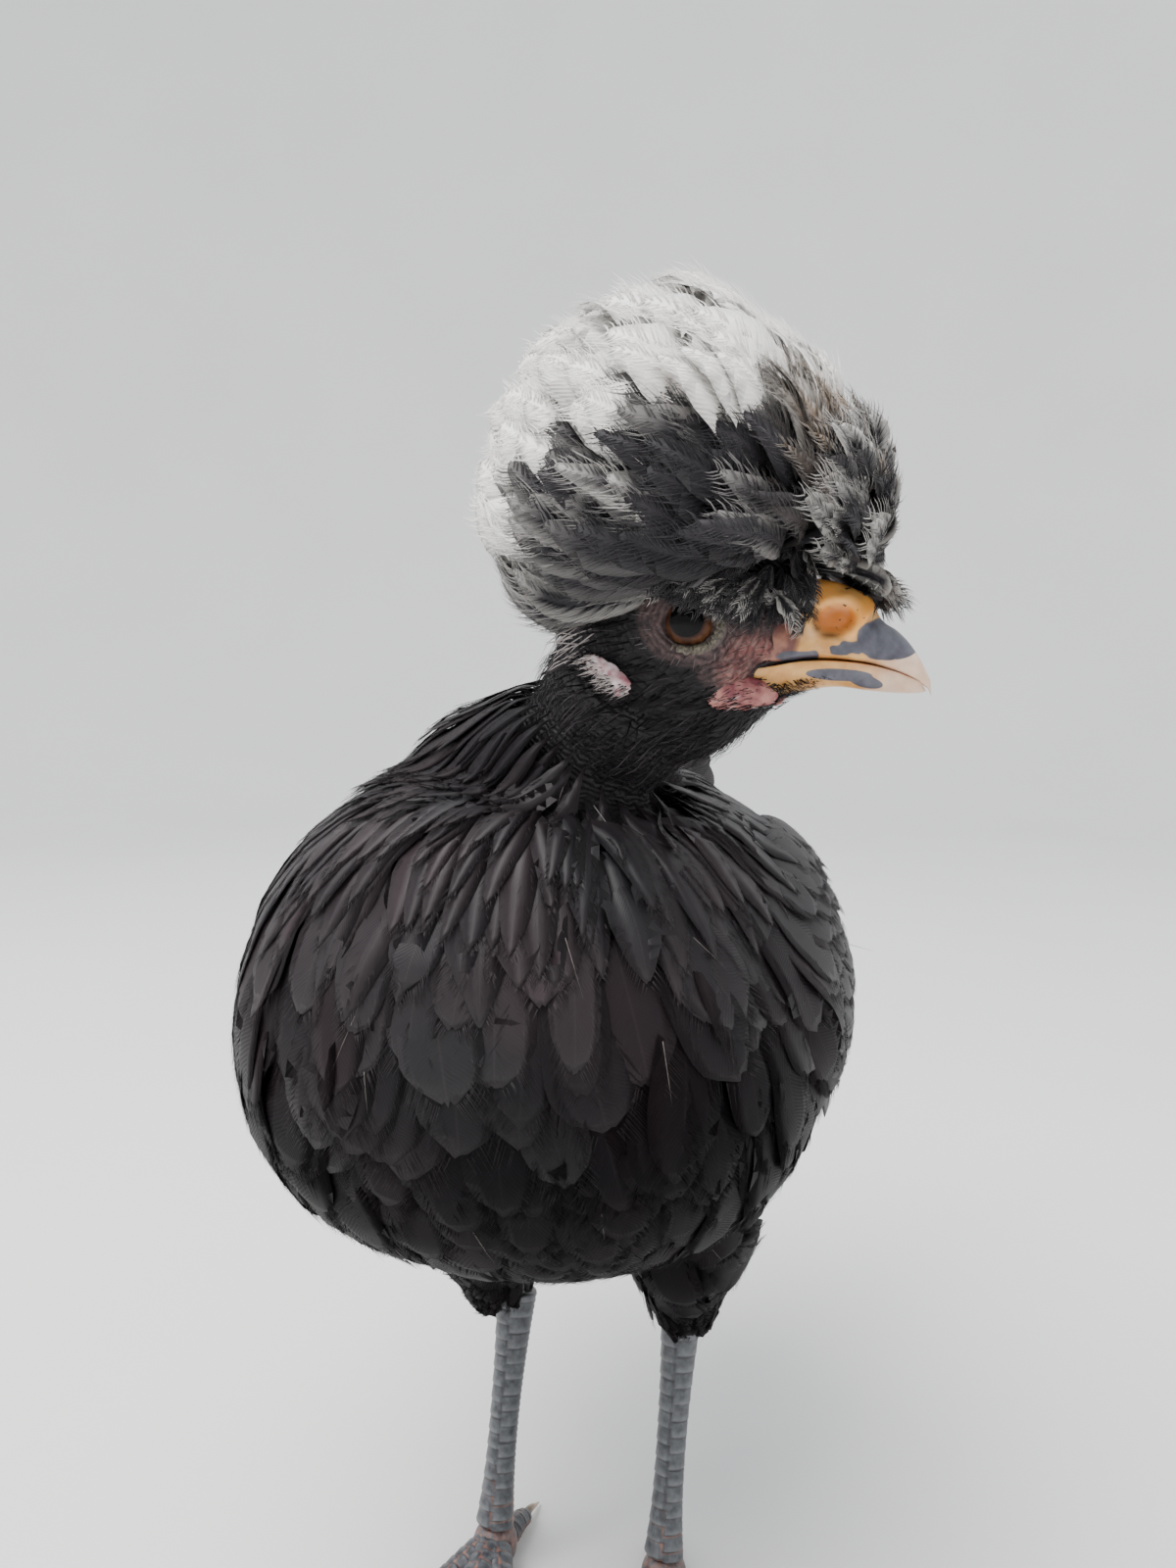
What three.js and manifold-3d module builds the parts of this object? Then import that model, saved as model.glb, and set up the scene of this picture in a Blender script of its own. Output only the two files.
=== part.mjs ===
// A young white-crested black Polish pullet, life size, standing still with its head turned to its left.
// Millimetres, +Z up. The bird faces -Y, its left side is +X and the floor is z = 0.

import * as THREE from "three";
import { mergeVertices } from "three/addons/utils/BufferGeometryUtils.js";
import Module from "manifold-3d";

const wasm = await Module();
wasm.setup();

const at = (x, y, z) => new THREE.Vector3(x, y, z);
const X_AXIS = at(1, 0, 0);
const Y_AXIS = at(0, 1, 0);
const Z_AXIS = at(0, 0, 1);
const SIDES = { left: 1, right: -1 };
const radians = THREE.MathUtils.degToRad;

// Space that touching pieces keep between them.
const GAP = 0.3;
const VANE_THICK = 0.75;

// Shapes of a vane: how far its edges bend away from its outer face, as a share of its half width,
// and its outline as places from root to tip with the share of the full width there.
const FLIGHT_SHAPE = { camber: 0.06, outline: [[0, 0.35], [0.3, 0.8], [0.86, 1], [1, 0.5]] };
const TAIL_SHAPE = { camber: 0.04, outline: [[0, 0.2], [0.34, 0.6], [0.86, 1], [1, 0.55]] };
const CREST_SHAPE = { camber: 0.14, outline: [[0, 0.25], [0.4, 0.42], [0.76, 1], [1, 0.5]] };

// The torso, without wings: place along Y, back height, belly height, half width.
const TORSO = {
  sides: 24,
  power: 2.2,
  front: at(0, -74, 138),
  rear: at(0, 92, 153),
  stations: [
    [-71, 156, 120, 21],
    [-63, 172, 106, 37],
    [-49, 182, 95, 48],
    [-28, 187, 87, 54.5],
    [0, 187, 84, 55.5],
    [28, 183, 85, 52],
    [52, 177, 94, 44],
    [72, 172, 111, 33],
    [86, 167, 130, 20],
  ],
};

// The neck leans to the left as it rises: share of the way up, radius.
const NECK = {
  sides: 18,
  path: [at(0, -20, 150), at(4, -27, 172), at(14, -36, 187), at(25, -42, 199)],
  radii: [
    [0, 38],
    [0.35, 31],
    [0.6, 20.5],
    [0.8, 16],
    [1, 14],
  ],
};

// The head stands on the neck with the bill to the bird's left, dipped below level.
// In the head's own frame +X runs along the bill, +Y is the head's left and +Z the crown.
const HEAD = {
  place: at(35.5, -41.5, 208.5),
  dip: radians(15),
  sides: 20,
  power: 2.1,
  rear: at(-23, 0, -4),
  front: at(20.5, 0, 2),
  // place along X, crown height, throat height, half width
  stations: [
    [-21, 5, -13, 7.5],
    [-16, 12.5, -19, 11.5],
    [-8, 18, -23, 13.4],
    [0, 20.5, -24, 13.3],
    [7, 19, -21.5, 11.4],
    [12, 16, -16, 9.4],
    [16, 12, -9.5, 7.4],
    [19, 8, -5, 4.5],
  ],
};

// Bill halves: place along X, upper edge, lower edge, half width. The mouth line lies between them.
const BILL = {
  sides: 14,
  power: 2.2,
  upperTip: at(38.8, 0, -1.3),
  upper: [
    [9, 11.5, -5.2, 9.4],
    [14, 12.2, -3.2, 8.2],
    [19, 12.7, -0.9, 6.9],
    [24, 12.3, 0.4, 6],
    [28.5, 9.6, 1, 4.9],
    [32.5, 6.9, 1, 3.8],
    [36, 3.7, 0.5, 2.5],
    [38, 1.2, -0.3, 1.2],
  ],
  lowerTip: at(37.4, 0, -0.8),
  lower: [
    [8, -5.8, -10.8, 9],
    [13, -4, -9.3, 7.8],
    [18, -1.7, -7, 6.2],
    [24, -0.1, -4, 4.6],
    [30, 0.6, -2.9, 3.2],
    [34, 0.4, -1.9, 1.9],
    [36.6, -0.1, -1.2, 0.8],
  ],
  nostril: { place: at(22.5, 5.2, 7), size: at(3.1, 2.2, 1.9) },
};

const EYE = { place: at(0, 8.3, 0), radius: 5.6, lid: at(5.1, 4.3, 5.1), lidTube: 0.95, lidPlace: 12.3 };
const EARLOBE = { place: at(-10, 12.2, -11.4), size: at(4.3, 1.7, 2.7), tilt: radians(-18) };
const EAR = { place: at(-11, 10.9, -4.5), size: at(4.6, 2, 3.6) };
const WATTLE = { place: at(9.2, 8.4, -8.4), size: at(7.6, 1.8, 3.1), tilt: radians(12) };

// The crest is a globe of feathers that rise from the crown and fall outwards all round its axis.
const CREST = {
  axis: at(-0.375, 0, 0.927),
  centre: at(-7.6, 0, 20),
  radius: 33,
  feathers: 46,
  // widest angle from the axis that feathers reach, and the angle where white gives way to black
  reach: radians(119),
  whiteTo: radians(74),
  rootBelow: 12,
  rootRadius: 9,
  bend: { share: 0.6, back: radians(11), radius: 1.02 },
  rootAngle: 0.4,
  width: 15,
  core: { place: at(-4, 0, 16), size: at(19.5, 18, 18) },
};

// A folded wing lies on a bowl-shaped side: half width, centre, and how fast it curves in along Y and Z.
const WING = {
  reach: 58,
  centre: at(0, 4, 131),
  curve: at(0, 118, 60),
  // how far each feather's face is turned from the bowl, so that it overlaps the next one down
  shingle: 0.17,
  pad: { place: at(1, 0, 145), size: at(3.6, 35, 26), tilt: radians(-8) },
};

// Feather tiers of a folded wing: number, then the first and last quill root and tip as [Y, Z],
// the vane's width, how far it stands off the bowl at its root and at its tip.
const WING_TIERS = [
  { count: 4, root: [[16, 146], [18, 130]], tip: [[98, 145], [88, 117]], width: 13, lift: [-0.6, -0.2] },
  { count: 6, root: [[4, 162], [-2, 126]], tip: [[80, 159], [68, 106]], width: 14, lift: [1, 1.8] },
  { count: 5, root: [[-14, 162], [-18, 128]], tip: [[34, 166], [24, 108]], width: 15, lift: [2.4, 3.4] },
];

// The tail is a small folded fan over the rump, bent like a roof: on each side the middle feather is
// highest and covers the next. Angles are to the tail's own line: fan from highest to lowest feather,
// lean from flat towards upright.
const TAIL = {
  root: at(0, 80, 160),
  rise: radians(11),
  core: { size: at(11, 19, 10) },
  stepDown: 2.3,
  tuck: 1.3,
  tiers: [
    { pairs: 5, length: 78, width: 18, start: 4, fan: [9, -24], lean: [30, 62], lift: 0 },
    { pairs: 2, length: 44, width: 19, start: 0, fan: [7, -25], lean: [30, 60], lift: 4 },
  ],
};

// Legs stand this far from the middle, both a little to the left, under the turned head.
// The hock is where the bare shank meets the feathered thigh.
const LEG = { x: 19.5, aside: 3, y: 2, hock: at(1.5, 12, 56), ankle: at(0, 1, 11) };
const THIGH = {
  sides: 14,
  path: [at(26, -6, 118), at(25, 2, 95), at(23, 10, 75), at(21.2, 14.4, 57)],
  // share of the way down, half width across, half depth fore and aft
  radii: [
    [0, 19, 27],
    [0.4, 16, 23],
    [0.75, 10.5, 14],
    [1, 6.6, 7.6],
  ],
};
const SHANK = {
  sides: 10,
  scutes: 12,
  scuteRise: 0.55,
  // share of the way up from the ankle, half width, half depth
  radii: [
    [0, 4.1, 4.2],
    [0.12, 3.5, 3.9],
    [0.55, 3.1, 3.7],
    [0.85, 3.8, 4.8],
    [1, 4.4, 5.6],
  ],
};
const TOE = { sides: 7, scuteRise: 0.4, ankleRadius: 4.9, padSink: 0.45 };
// Heading is measured outwards from straight ahead. Sizes are to the start of the claw.
const TOES = [
  { name: "inner", heading: radians(-27), length: 27, base: 2.9, end: 1.9, scutes: 5 },
  { name: "middle", heading: radians(4), length: 37, base: 3.1, end: 2, scutes: 7 },
  { name: "outer", heading: radians(35), length: 30, base: 2.9, end: 1.8, scutes: 6 },
  { name: "hind", heading: radians(192), length: 14, base: 2.5, end: 1.8, scutes: 2 },
];
const CLAW = { sides: 7, length: 8.5, radius: 1.5, droop: 1.1 };

const FEATHER_BLACK = { color: 0x17151a, roughness: 0.62, metalness: 0 };
const FEATHER_WHITE = { color: 0xd9d3cb, roughness: 0.7, metalness: 0 };
const FACE_SKIN = { color: 0x2a2326, roughness: 0.75, metalness: 0 };
const BILL_HORN = { color: 0xd59a55, roughness: 0.42, metalness: 0 };
const WATTLE_SKIN = { color: 0xb8686c, roughness: 0.55, metalness: 0 };
const LOBE_SKIN = { color: 0xe3d2d2, roughness: 0.6, metalness: 0 };
const EYE_GLOSS = { color: 0x3a2417, roughness: 0.12, metalness: 0 };
const LEG_SCALE = { color: 0x4b4a50, roughness: 0.55, metalness: 0 };
const CLAW_HORN = { color: 0xc9b494, roughness: 0.45, metalness: 0 };

// Smooth values between the rows of a table whose first column is the place along the form.
function along(rows) {
  const places = rows.map((row) => row[0]);
  const values = rows.flatMap((row) => row.slice(1));
  const curve = new THREE.CubicInterpolant(places, values, rows[0].length - 1);
  return (place) => Array.from(curve.evaluate(place));
}

// One closed cross-section: a rounded shape with its own height above and below the centre.
function ring(centre, across, up, [half, rise, drop], sides, power = 2) {
  const corner = (value) => Math.sign(value) * Math.abs(value) ** (2 / power);
  return Array.from({ length: sides }, (_, i) => {
    const turn = (2 * Math.PI * i) / sides;
    const high = corner(Math.sin(turn));
    return centre
      .clone()
      .addScaledVector(across, half * corner(Math.cos(turn)))
      .addScaledVector(up, high * (high > 0 ? rise : drop));
  });
}

// A closed skin through a row of rings. Each end closes on its own point, or flat on its ring.
class Loft extends THREE.BufferGeometry {
  constructor(rings, start, end) {
    super();
    const sides = rings[0].length;
    const middle = (points) => points.reduce((sum, p) => sum.add(p), at(0, 0, 0)).divideScalar(sides);
    const points = [...rings.flat(), start ?? middle(rings[0]), end ?? middle(rings.at(-1))];
    const startPoint = points.length - 2;
    const lastRing = startPoint - sides;
    const index = [];
    for (let i = 0; i < sides; i++) {
      const j = (i + 1) % sides;
      index.push(startPoint, j, i, startPoint + 1, lastRing + i, lastRing + j);
      for (let a = 0; a < lastRing; a += sides) {
        index.push(a + i, a + j, a + sides + j, a + i, a + sides + j, a + sides + i);
      }
    }
    this.setFromPoints(points);
    this.setIndex(index);
  }
}

// A thin plate: a grid of points thickened both ways, split into triangles alike on both faces.
class Plate extends THREE.BufferGeometry {
  constructor(rows, thick) {
    super();
    const columns = rows[0].length;
    const cells = rows.flat();
    const half = cells.length;
    const shifted = (share) => cells.map(({ point, out }) => point.clone().addScaledVector(out, share * thick));
    const index = [];
    const quad = (a, b, c, d) => index.push(a, b, c, a, c, d);
    const wall = (a, b) => quad(b, a, a + half, b + half);
    for (let r = 0; r + 1 < rows.length; r++) {
      for (let c = 0; c + 1 < columns; c++) {
        const a = r * columns + c;
        quad(a, a + columns, a + columns + 1, a + 1);
        index.push(a + half, a + columns + 1 + half, a + columns + half);
        index.push(a + half, a + 1 + half, a + columns + 1 + half);
      }
      wall(r * columns, (r + 1) * columns);
      wall((r + 2) * columns - 1, (r + 1) * columns - 1);
    }
    for (let c = 0; c + 1 < columns; c++) {
      wall(c + 1, c);
      wall(half - columns + c, half - columns + c + 1);
    }
    this.setFromPoints([...shifted(0.5), ...shifted(-0.5)]);
    this.setIndex(index);
  }
}

// A feather's vane along a path from root to tip. It narrows at both ends and its edges bend away
// from its outer face, so that the quill shows as a ridge. across(point, t) is the way its width runs.
function vane(path, across, width, { camber, outline }) {
  const rows = outline.map(([t, share]) => {
    const point = path.getPoint(t);
    const wide = across(point, t).clone().projectOnPlane(path.getTangent(t)).normalize();
    const out = path.getTangent(t).cross(wide).normalize();
    const half = (share * width) / 2;
    return [-1, 0, 1].map((column) => ({
      point: point
        .clone()
        .addScaledVector(wide, column * half)
        .addScaledVector(out, -Math.abs(column) * camber * half),
      out,
    }));
  });
  return new Plate(rows, VANE_THICK);
}

// Turns a closed geometry into a solid, facing outwards, for joining and cutting.
function solid(geometry) {
  const make = (triVerts) => {
    const vertProperties = new Float32Array(geometry.getAttribute("position").array);
    return new wasm.Manifold(new wasm.Mesh({ numProp: 3, vertProperties, triVerts }));
  };
  const triVerts = new Uint32Array(geometry.index.array);
  const made = make(triVerts);
  return made.volume() < 0 ? make(triVerts.reverse()) : made;
}

const join = (geometries) => geometries.map(solid).reduce((sum, next) => sum.add(next));
const pieces = (made) => made.decompose().sort((a, b) => b.volume() - a.volume());
const cutClear = (made, ...others) => others.reduce((left, other) => left.subtract(other), made);

// A ready-made form, closed along its seams by sharing the points there.
function sealed(form) {
  form.deleteAttribute("normal");
  form.deleteAttribute("uv");
  return mergeVertices(form, 1e-4);
}

const ball = (detail) => sealed(new THREE.SphereGeometry(1, ...detail));

function ellipsoid(place, size, turn = 0, detail = [12, 8]) {
  return ball(detail).scale(...size).rotateY(-turn).translate(...place);
}

// A named mesh for a solid. A frame, where given, is the group that the mesh is placed in.
function node(name, made, look, frame) {
  const [largest] = pieces(made);
  const mesh = largest.getMesh();
  const geometry = new THREE.BufferGeometry();
  geometry.setAttribute("position", new THREE.BufferAttribute(new Float32Array(mesh.vertProperties), 3));
  geometry.setIndex(new THREE.BufferAttribute(new Uint32Array(mesh.triVerts), 1));
  if (frame) geometry.applyMatrix4(frame.matrix.clone().invert());
  geometry.computeVertexNormals();
  const named = new THREE.Mesh(geometry, new THREE.MeshStandardMaterial(look));
  named.name = name;
  return named;
}

const torsoAt = along(TORSO.stations);
const headAt = along(HEAD.stations);

// The torso, or its outside moved out by grow to cut its neighbours clear of it.
function torsoForm(grow = 0) {
  const places = TORSO.stations.flatMap(([y], i, all) => (i && i < all.length - 1 ? [y, (y + all[i + 1][0]) / 2] : [y]));
  const rings = places.map((y) => {
    const [top, bottom, half] = torsoAt(y);
    const middle = bottom + 0.45 * (top - bottom);
    const size = [half + grow, top - middle + grow, middle - bottom + grow];
    return ring(at(0, y, middle), X_AXIS, Z_AXIS, size, TORSO.sides, TORSO.power);
  });
  const ends = [TORSO.front, TORSO.rear].map((p, i) => p.clone().addScaledVector(Y_AXIS, i ? grow : -grow));
  return new Loft(rings, ...ends);
}

// A round form along a smooth path, such as the neck: radii hold share, half width and half depth.
function limb(path, radii, sides, grow = 0, steps = radii.length * 2) {
  const curve = new THREE.CatmullRomCurve3(path);
  const sizeAt = along(radii);
  const rings = Array.from({ length: steps }, (_, i) => {
    const share = i / (steps - 1);
    const [half, depth = half] = sizeAt(share);
    const way = curve.getTangentAt(share);
    const across = X_AXIS.clone().projectOnPlane(way).normalize();
    const up = way.clone().cross(across).normalize();
    return ring(curve.getPointAt(share), across, up, [half + grow, depth + grow, depth + grow], sides);
  });
  return new Loft(rings);
}

const head = new THREE.Group();
head.position.copy(HEAD.place);
head.rotation.y = HEAD.dip;
head.updateMatrix();
const inHead = (geometry) => geometry.applyMatrix4(head.matrix);

function headForm(grow = 0) {
  const places = HEAD.stations.flatMap(([x], i, all) => (i && i < all.length - 1 ? [x, (x + all[i + 1][0]) / 2] : [x]));
  const rings = places.map((x) => {
    const [top, bottom, half] = headAt(x);
    const middle = bottom + 0.54 * (top - bottom);
    const size = [half + grow, top - middle + grow, middle - bottom + grow];
    return ring(at(x, 0, middle), Y_AXIS, Z_AXIS, size, HEAD.sides, HEAD.power);
  });
  const ends = [HEAD.rear, HEAD.front].map((p, i) => p.clone().addScaledVector(X_AXIS, i ? grow : -grow));
  return inHead(new Loft(rings, ...ends));
}

// Half of the bill. The upper half sits above the mouth line and the lower half below it.
function billForm(stations, tip, shift, grow = 0) {
  const rings = stations.map(([x, top, bottom, half], i) => {
    const high = top + shift;
    const low = bottom + shift;
    const middle = low + (shift > 0 ? 0.22 : 0.72) * (high - low);
    const size = [half + grow, high - middle + grow, middle - low + grow];
    return ring(at(i ? x : x - grow, 0, middle), Y_AXIS, Z_AXIS, size, BILL.sides, BILL.power);
  });
  return inHead(new Loft(rings, undefined, tip.clone().add(at(grow, 0, shift))));
}

const mirrored = (place, side) => at(place.x, place.y * side, place.z);

function eyeForm(side, grow = 0) {
  const radius = EYE.radius + grow;
  return inHead(ellipsoid(mirrored(EYE.place, side), at(radius, radius, radius), 0, [14, 10]));
}

function lidForm(side) {
  const lid = sealed(new THREE.TorusGeometry(1, EYE.lidTube / EYE.lid.x, 5, 16)).scale(...EYE.lid);
  return inHead(lid.rotateX(Math.PI / 2).translate(0, side * EYE.lidPlace, 0));
}

function sideForm({ place, size, tilt = 0 }, side, grow = 0) {
  return inHead(ellipsoid(mirrored(place, side), size.clone().addScalar(grow), tilt));
}

// The path of one crest feather, by its angle from the crest's axis and its turn about the axis.
function crestPath(angle, turn, length = 1) {
  const axis = CREST.axis.clone().normalize();
  const ahead = X_AXIS.clone().projectOnPlane(axis).normalize();
  const away = ahead.applyAxisAngle(axis, turn);
  const from = (centre, radius, tilt) =>
    centre
      .clone()
      .addScaledVector(axis, radius * Math.cos(tilt))
      .addScaledVector(away, radius * Math.sin(tilt));
  const rootCentre = CREST.centre.clone().addScaledVector(axis, -CREST.rootBelow);
  return new THREE.QuadraticBezierCurve3(
    from(rootCentre, CREST.rootRadius, CREST.rootAngle * angle),
    from(CREST.centre, CREST.bend.radius * CREST.radius, CREST.bend.share * angle - CREST.bend.back),
    from(CREST.centre, length * CREST.radius, angle),
  );
}

// All crest feathers, spread evenly over the globe, each longer or shorter than its neighbours.
function crestFeathers() {
  const axis = CREST.axis.clone().normalize();
  const turnStep = Math.PI * (3 - Math.sqrt(5));
  const feathers = Array.from({ length: CREST.feathers }, (_, i) => {
    const drop = (1 - Math.cos(CREST.reach)) * ((i + 0.5) / CREST.feathers);
    const angle = Math.acos(1 - drop);
    const length = 0.985 + 0.04 * Math.sin(7 * i);
    const path = crestPath(angle, i * turnStep, length);
    const width = CREST.width * (0.9 + 0.14 * Math.sin(5 * i));
    const twist = radians(10) * Math.sin(3 * i);
    const across = (point) =>
      point
        .clone()
        .sub(CREST.centre)
        .projectOnPlane(axis)
        .cross(axis)
        .applyAxisAngle(path.getTangent(0.5), twist);
    return vane(path, across, width, CREST_SHAPE);
  });
  return feathers;
}

// A thin bell between the white feathers and the black ones, made by the path where they meet.
function crestPartingBell() {
  const path = crestPath(CREST.whiteTo, 0, 1.15);
  const axis = CREST.axis.clone().normalize();
  const base = CREST.centre.clone().addScaledVector(axis, -CREST.rootBelow);
  const ahead = X_AXIS.clone().projectOnPlane(axis).normalize();
  const aside = axis.clone().cross(ahead);
  const onAxis = (height) => base.clone().addScaledVector(axis, height);
  const profile = path.getPoints(5).map((point) => {
    const height = point.clone().sub(base).dot(axis);
    return [point.distanceTo(onAxis(height)), height];
  });
  const under = profile.map(([radius, height]) => [radius, height - GAP * 1.2]).reverse();
  const rings = [...profile, ...under].map(([radius, height]) =>
    ring(onAxis(height), ahead, aside, [radius, radius, radius], 16),
  );
  return new Loft(rings, onAxis(profile[0][1]), onAxis(under.at(-1)[1]));
}

// Half width of the bowl that a folded wing lies on.
function wingReach(y, z) {
  const foreAft = (y - WING.centre.y) / WING.curve.y;
  const upDown = (z - WING.centre.z) / WING.curve.z;
  return WING.reach * Math.sqrt(Math.max(0.1, 1 - foreAft ** 2 - upDown ** 2));
}

function wingFeather(side, [rootY, rootZ], [tipY, tipZ], width, [rootLift, tipLift]) {
  const points = [0, 0.33, 0.67, 1].map((t) => {
    const y = THREE.MathUtils.lerp(rootY, tipY, t);
    const z = THREE.MathUtils.lerp(rootZ, tipZ, t) + 3 * Math.sin(Math.PI * t);
    const lift = THREE.MathUtils.lerp(rootLift, tipLift, t);
    return at(side * (wingReach(y, z) + lift), y, z);
  });
  const path = new THREE.CatmullRomCurve3(points);
  // the lower edge lies a little further out, so that each feather overlaps the one below it
  const across = ({ y, z }) => {
    const slope = wingReach(y, z + 0.5) - wingReach(y, z - 0.5);
    return at(slope - WING.shingle, 0, side);
  };
  return vane(path, across, width, FLIGHT_SHAPE);
}

function wingForm(side) {
  const { place, size, tilt } = WING.pad;
  const pad = ball([12, 8]).scale(...size).rotateX(tilt).translate(...place);
  const spots = pad.getAttribute("position");
  for (let i = 0; i < spots.count; i++) {
    spots.setX(i, side * (spots.getX(i) + wingReach(spots.getY(i), spots.getZ(i))));
  }
  const feathers = WING_TIERS.flatMap(({ count, root, tip, width, lift }) =>
    Array.from({ length: count }, (_, i) => {
      const share = i / (count - 1);
      const mix = ([first, last]) => first.map((value, k) => THREE.MathUtils.lerp(value, last[k], share));
      const lower = 0.9 * share;
      return wingFeather(side, mix(root), mix(tip), width, lift.map((value) => value - lower));
    }),
  );
  return join([pad, ...feathers]);
}

function tailFeather(side, order, share, { length, width, start, fan, lean, lift }) {
  const rise = radians(THREE.MathUtils.lerp(...fan, share));
  const tilt = radians(THREE.MathUtils.lerp(...lean, share));
  const out = at(side * Math.sin(tilt), 0, Math.cos(tilt));
  const way = at(side * (0.05 + 0.15 * share), Math.cos(rise), Math.sin(rise)).normalize();
  const root = at(0, start, 4 - TAIL.stepDown * order).addScaledVector(out, 4.5 + lift - TAIL.tuck * order);
  const reach = length * (1 - 0.16 * share ** 2);
  const middle = root.clone().addScaledVector(way, reach * 0.5).addScaledVector(out, 0.8);
  const tip = root.clone().addScaledVector(way, reach).addScaledVector(out, -1.5 - lift * 0.4);
  const path = new THREE.QuadraticBezierCurve3(root, middle, tip);
  return vane(path, () => out.clone().cross(way), width, TAIL_SHAPE);
}

function tailForm() {
  const core = ball([12, 8]).scale(...TAIL.core.size);
  const feathers = TAIL.tiers.flatMap((tier) =>
    Array.from({ length: tier.pairs * 2 }, (_, k) => {
      const order = Math.floor(k / 2);
      return tailFeather(k % 2 ? 1 : -1, order, order / (tier.pairs - 1), tier);
    }),
  );
  [core, ...feathers].forEach((piece) => piece.rotateX(TAIL.rise).translate(...TAIL.root));
  return join([core, ...feathers]);
}

// Rings along a scaled limb. Each scute starts high on the outer side and ends low.
function scutedRings(curve, sizeAt, { count, rise, sides, across, floor }) {
  return Array.from({ length: count * 2 }, (_, k) => {
    const share = (Math.floor(k / 2) + (k % 2 ? 0.86 : 0)) / (count - 0.14);
    const [half, depth] = sizeAt(share);
    const bump = k % 2 ? 0 : rise;
    const way = curve.getTangentAt(share);
    const wide = across.clone().projectOnPlane(way).normalize();
    const up = wide.clone().cross(way).normalize();
    const points = ring(curve.getPointAt(share), wide, up, [half + bump * 0.3, depth + bump, depth], sides, 2.1);
    return floor ? points.map((p) => p.setZ(Math.max(p.z, 0))) : points;
  });
}

function shankForm(grow = 0) {
  const curve = new THREE.LineCurve3(LEG.ankle, LEG.hock);
  const sizeAt = along(SHANK.radii);
  const grown = (share) => sizeAt(share).map((value) => value + grow);
  const look = { count: SHANK.scutes, rise: SHANK.scuteRise, sides: SHANK.sides, across: X_AXIS };
  const rings = scutedRings(curve, grown, look);
  const top = LEG.hock.clone().add(at(0.2, 1.5, 5 + grow));
  return new Loft(rings, undefined, top);
}

const headingOf = (heading, side) => at(side * Math.sin(heading), -Math.cos(heading), 0);

function toeCurve({ heading, length, end }, side) {
  const way = headingOf(heading, side);
  const spot = (share, z) => way.clone().multiplyScalar(length * share).setZ(z);
  return new THREE.CatmullRomCurve3([at(0, 0, 6), spot(0.22, 4.4), spot(0.45, 2.6), spot(0.75, 2.7), spot(1, end + 0.2)]);
}

function toeForm(toe, side) {
  const curve = toeCurve(toe, side);
  const sizeAt = along([
    [0, toe.base + 0.4, toe.base],
    [0.4, toe.base, toe.base],
    [1, toe.end, toe.end],
  ]);
  const across = headingOf(toe.heading, side).cross(Z_AXIS);
  const look = { count: toe.scutes, rise: TOE.scuteRise, sides: TOE.sides, across, floor: true };
  return new Loft(scutedRings(curve, sizeAt, look));
}

// A claw starts face to face with its toe and curves down to just above the floor.
function clawForm(toe, side) {
  const curve = toeCurve(toe, side);
  const root = curve.getPointAt(1);
  const way = curve.getTangentAt(1);
  const across = headingOf(toe.heading, side).cross(Z_AXIS);
  const scale = toe.end / 2;
  const rings = [0, 0.45, 0.8].map((share) => {
    const radius = CLAW.radius * scale * (1 - 0.75 * share);
    const middle = root.clone().addScaledVector(way, GAP + share * CLAW.length * scale);
    middle.z += 0.9 * Math.sin(share * 2.6) - CLAW.droop * share ** 2;
    middle.z = Math.max(middle.z, radius + 2 * GAP);
    const up = across.clone().cross(way).normalize();
    return ring(middle, across, up, [radius * 0.85, radius, radius], CLAW.sides);
  });
  const tip = root.clone().addScaledVector(way, GAP + CLAW.length * scale).setZ(2 * GAP);
  return new Loft(rings, undefined, tip);
}

// The ankle and its four toes are one piece. Its top face meets the shank's lower end.
function footForm(side) {
  const toes = TOES.map((toe) => toeForm(toe, side));
  const axis = LEG.hock.clone().sub(LEG.ankle).normalize();
  const across = X_AXIS.clone().projectOnPlane(axis).normalize();
  const up = across.clone().cross(axis).normalize();
  const [half, depth] = SHANK.radii[0].slice(1);
  const top = LEG.ankle.clone().addScaledVector(axis, -GAP);
  const low = at(0, 0.5, TOE.ankleRadius - TOE.padSink);
  const flat = ring(low, X_AXIS, Y_AXIS.clone().negate(), [4.8, 5.4, 5.2], SHANK.sides);
  const sole = flat.map((p) => at(p.x * 0.72, p.y * 0.72, 0));
  const stub = new Loft([ring(top, across, up, [half, depth, depth], SHANK.sides), flat, sole]);
  return join([stub, ...toes]);
}

// Builds every node. Each is cut clear of those before it, by the usual gap.
const torsoSolid = solid(torsoForm());
const torsoRoom = solid(torsoForm(GAP));
const headRoom = join([headForm(GAP), ...Object.values(SIDES).map((side) => sideForm(EAR, side, GAP))]);
const neckForm = (grow) => limb(NECK.path, NECK.radii, NECK.sides, grow, 9);
const neckRoom = solid(neckForm(GAP));
const billUpper = (grow) => billForm(BILL.upper, BILL.upperTip, GAP / 2, grow);
const billLower = (grow) => billForm(BILL.lower, BILL.lowerTip, -GAP / 2, grow);

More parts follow.
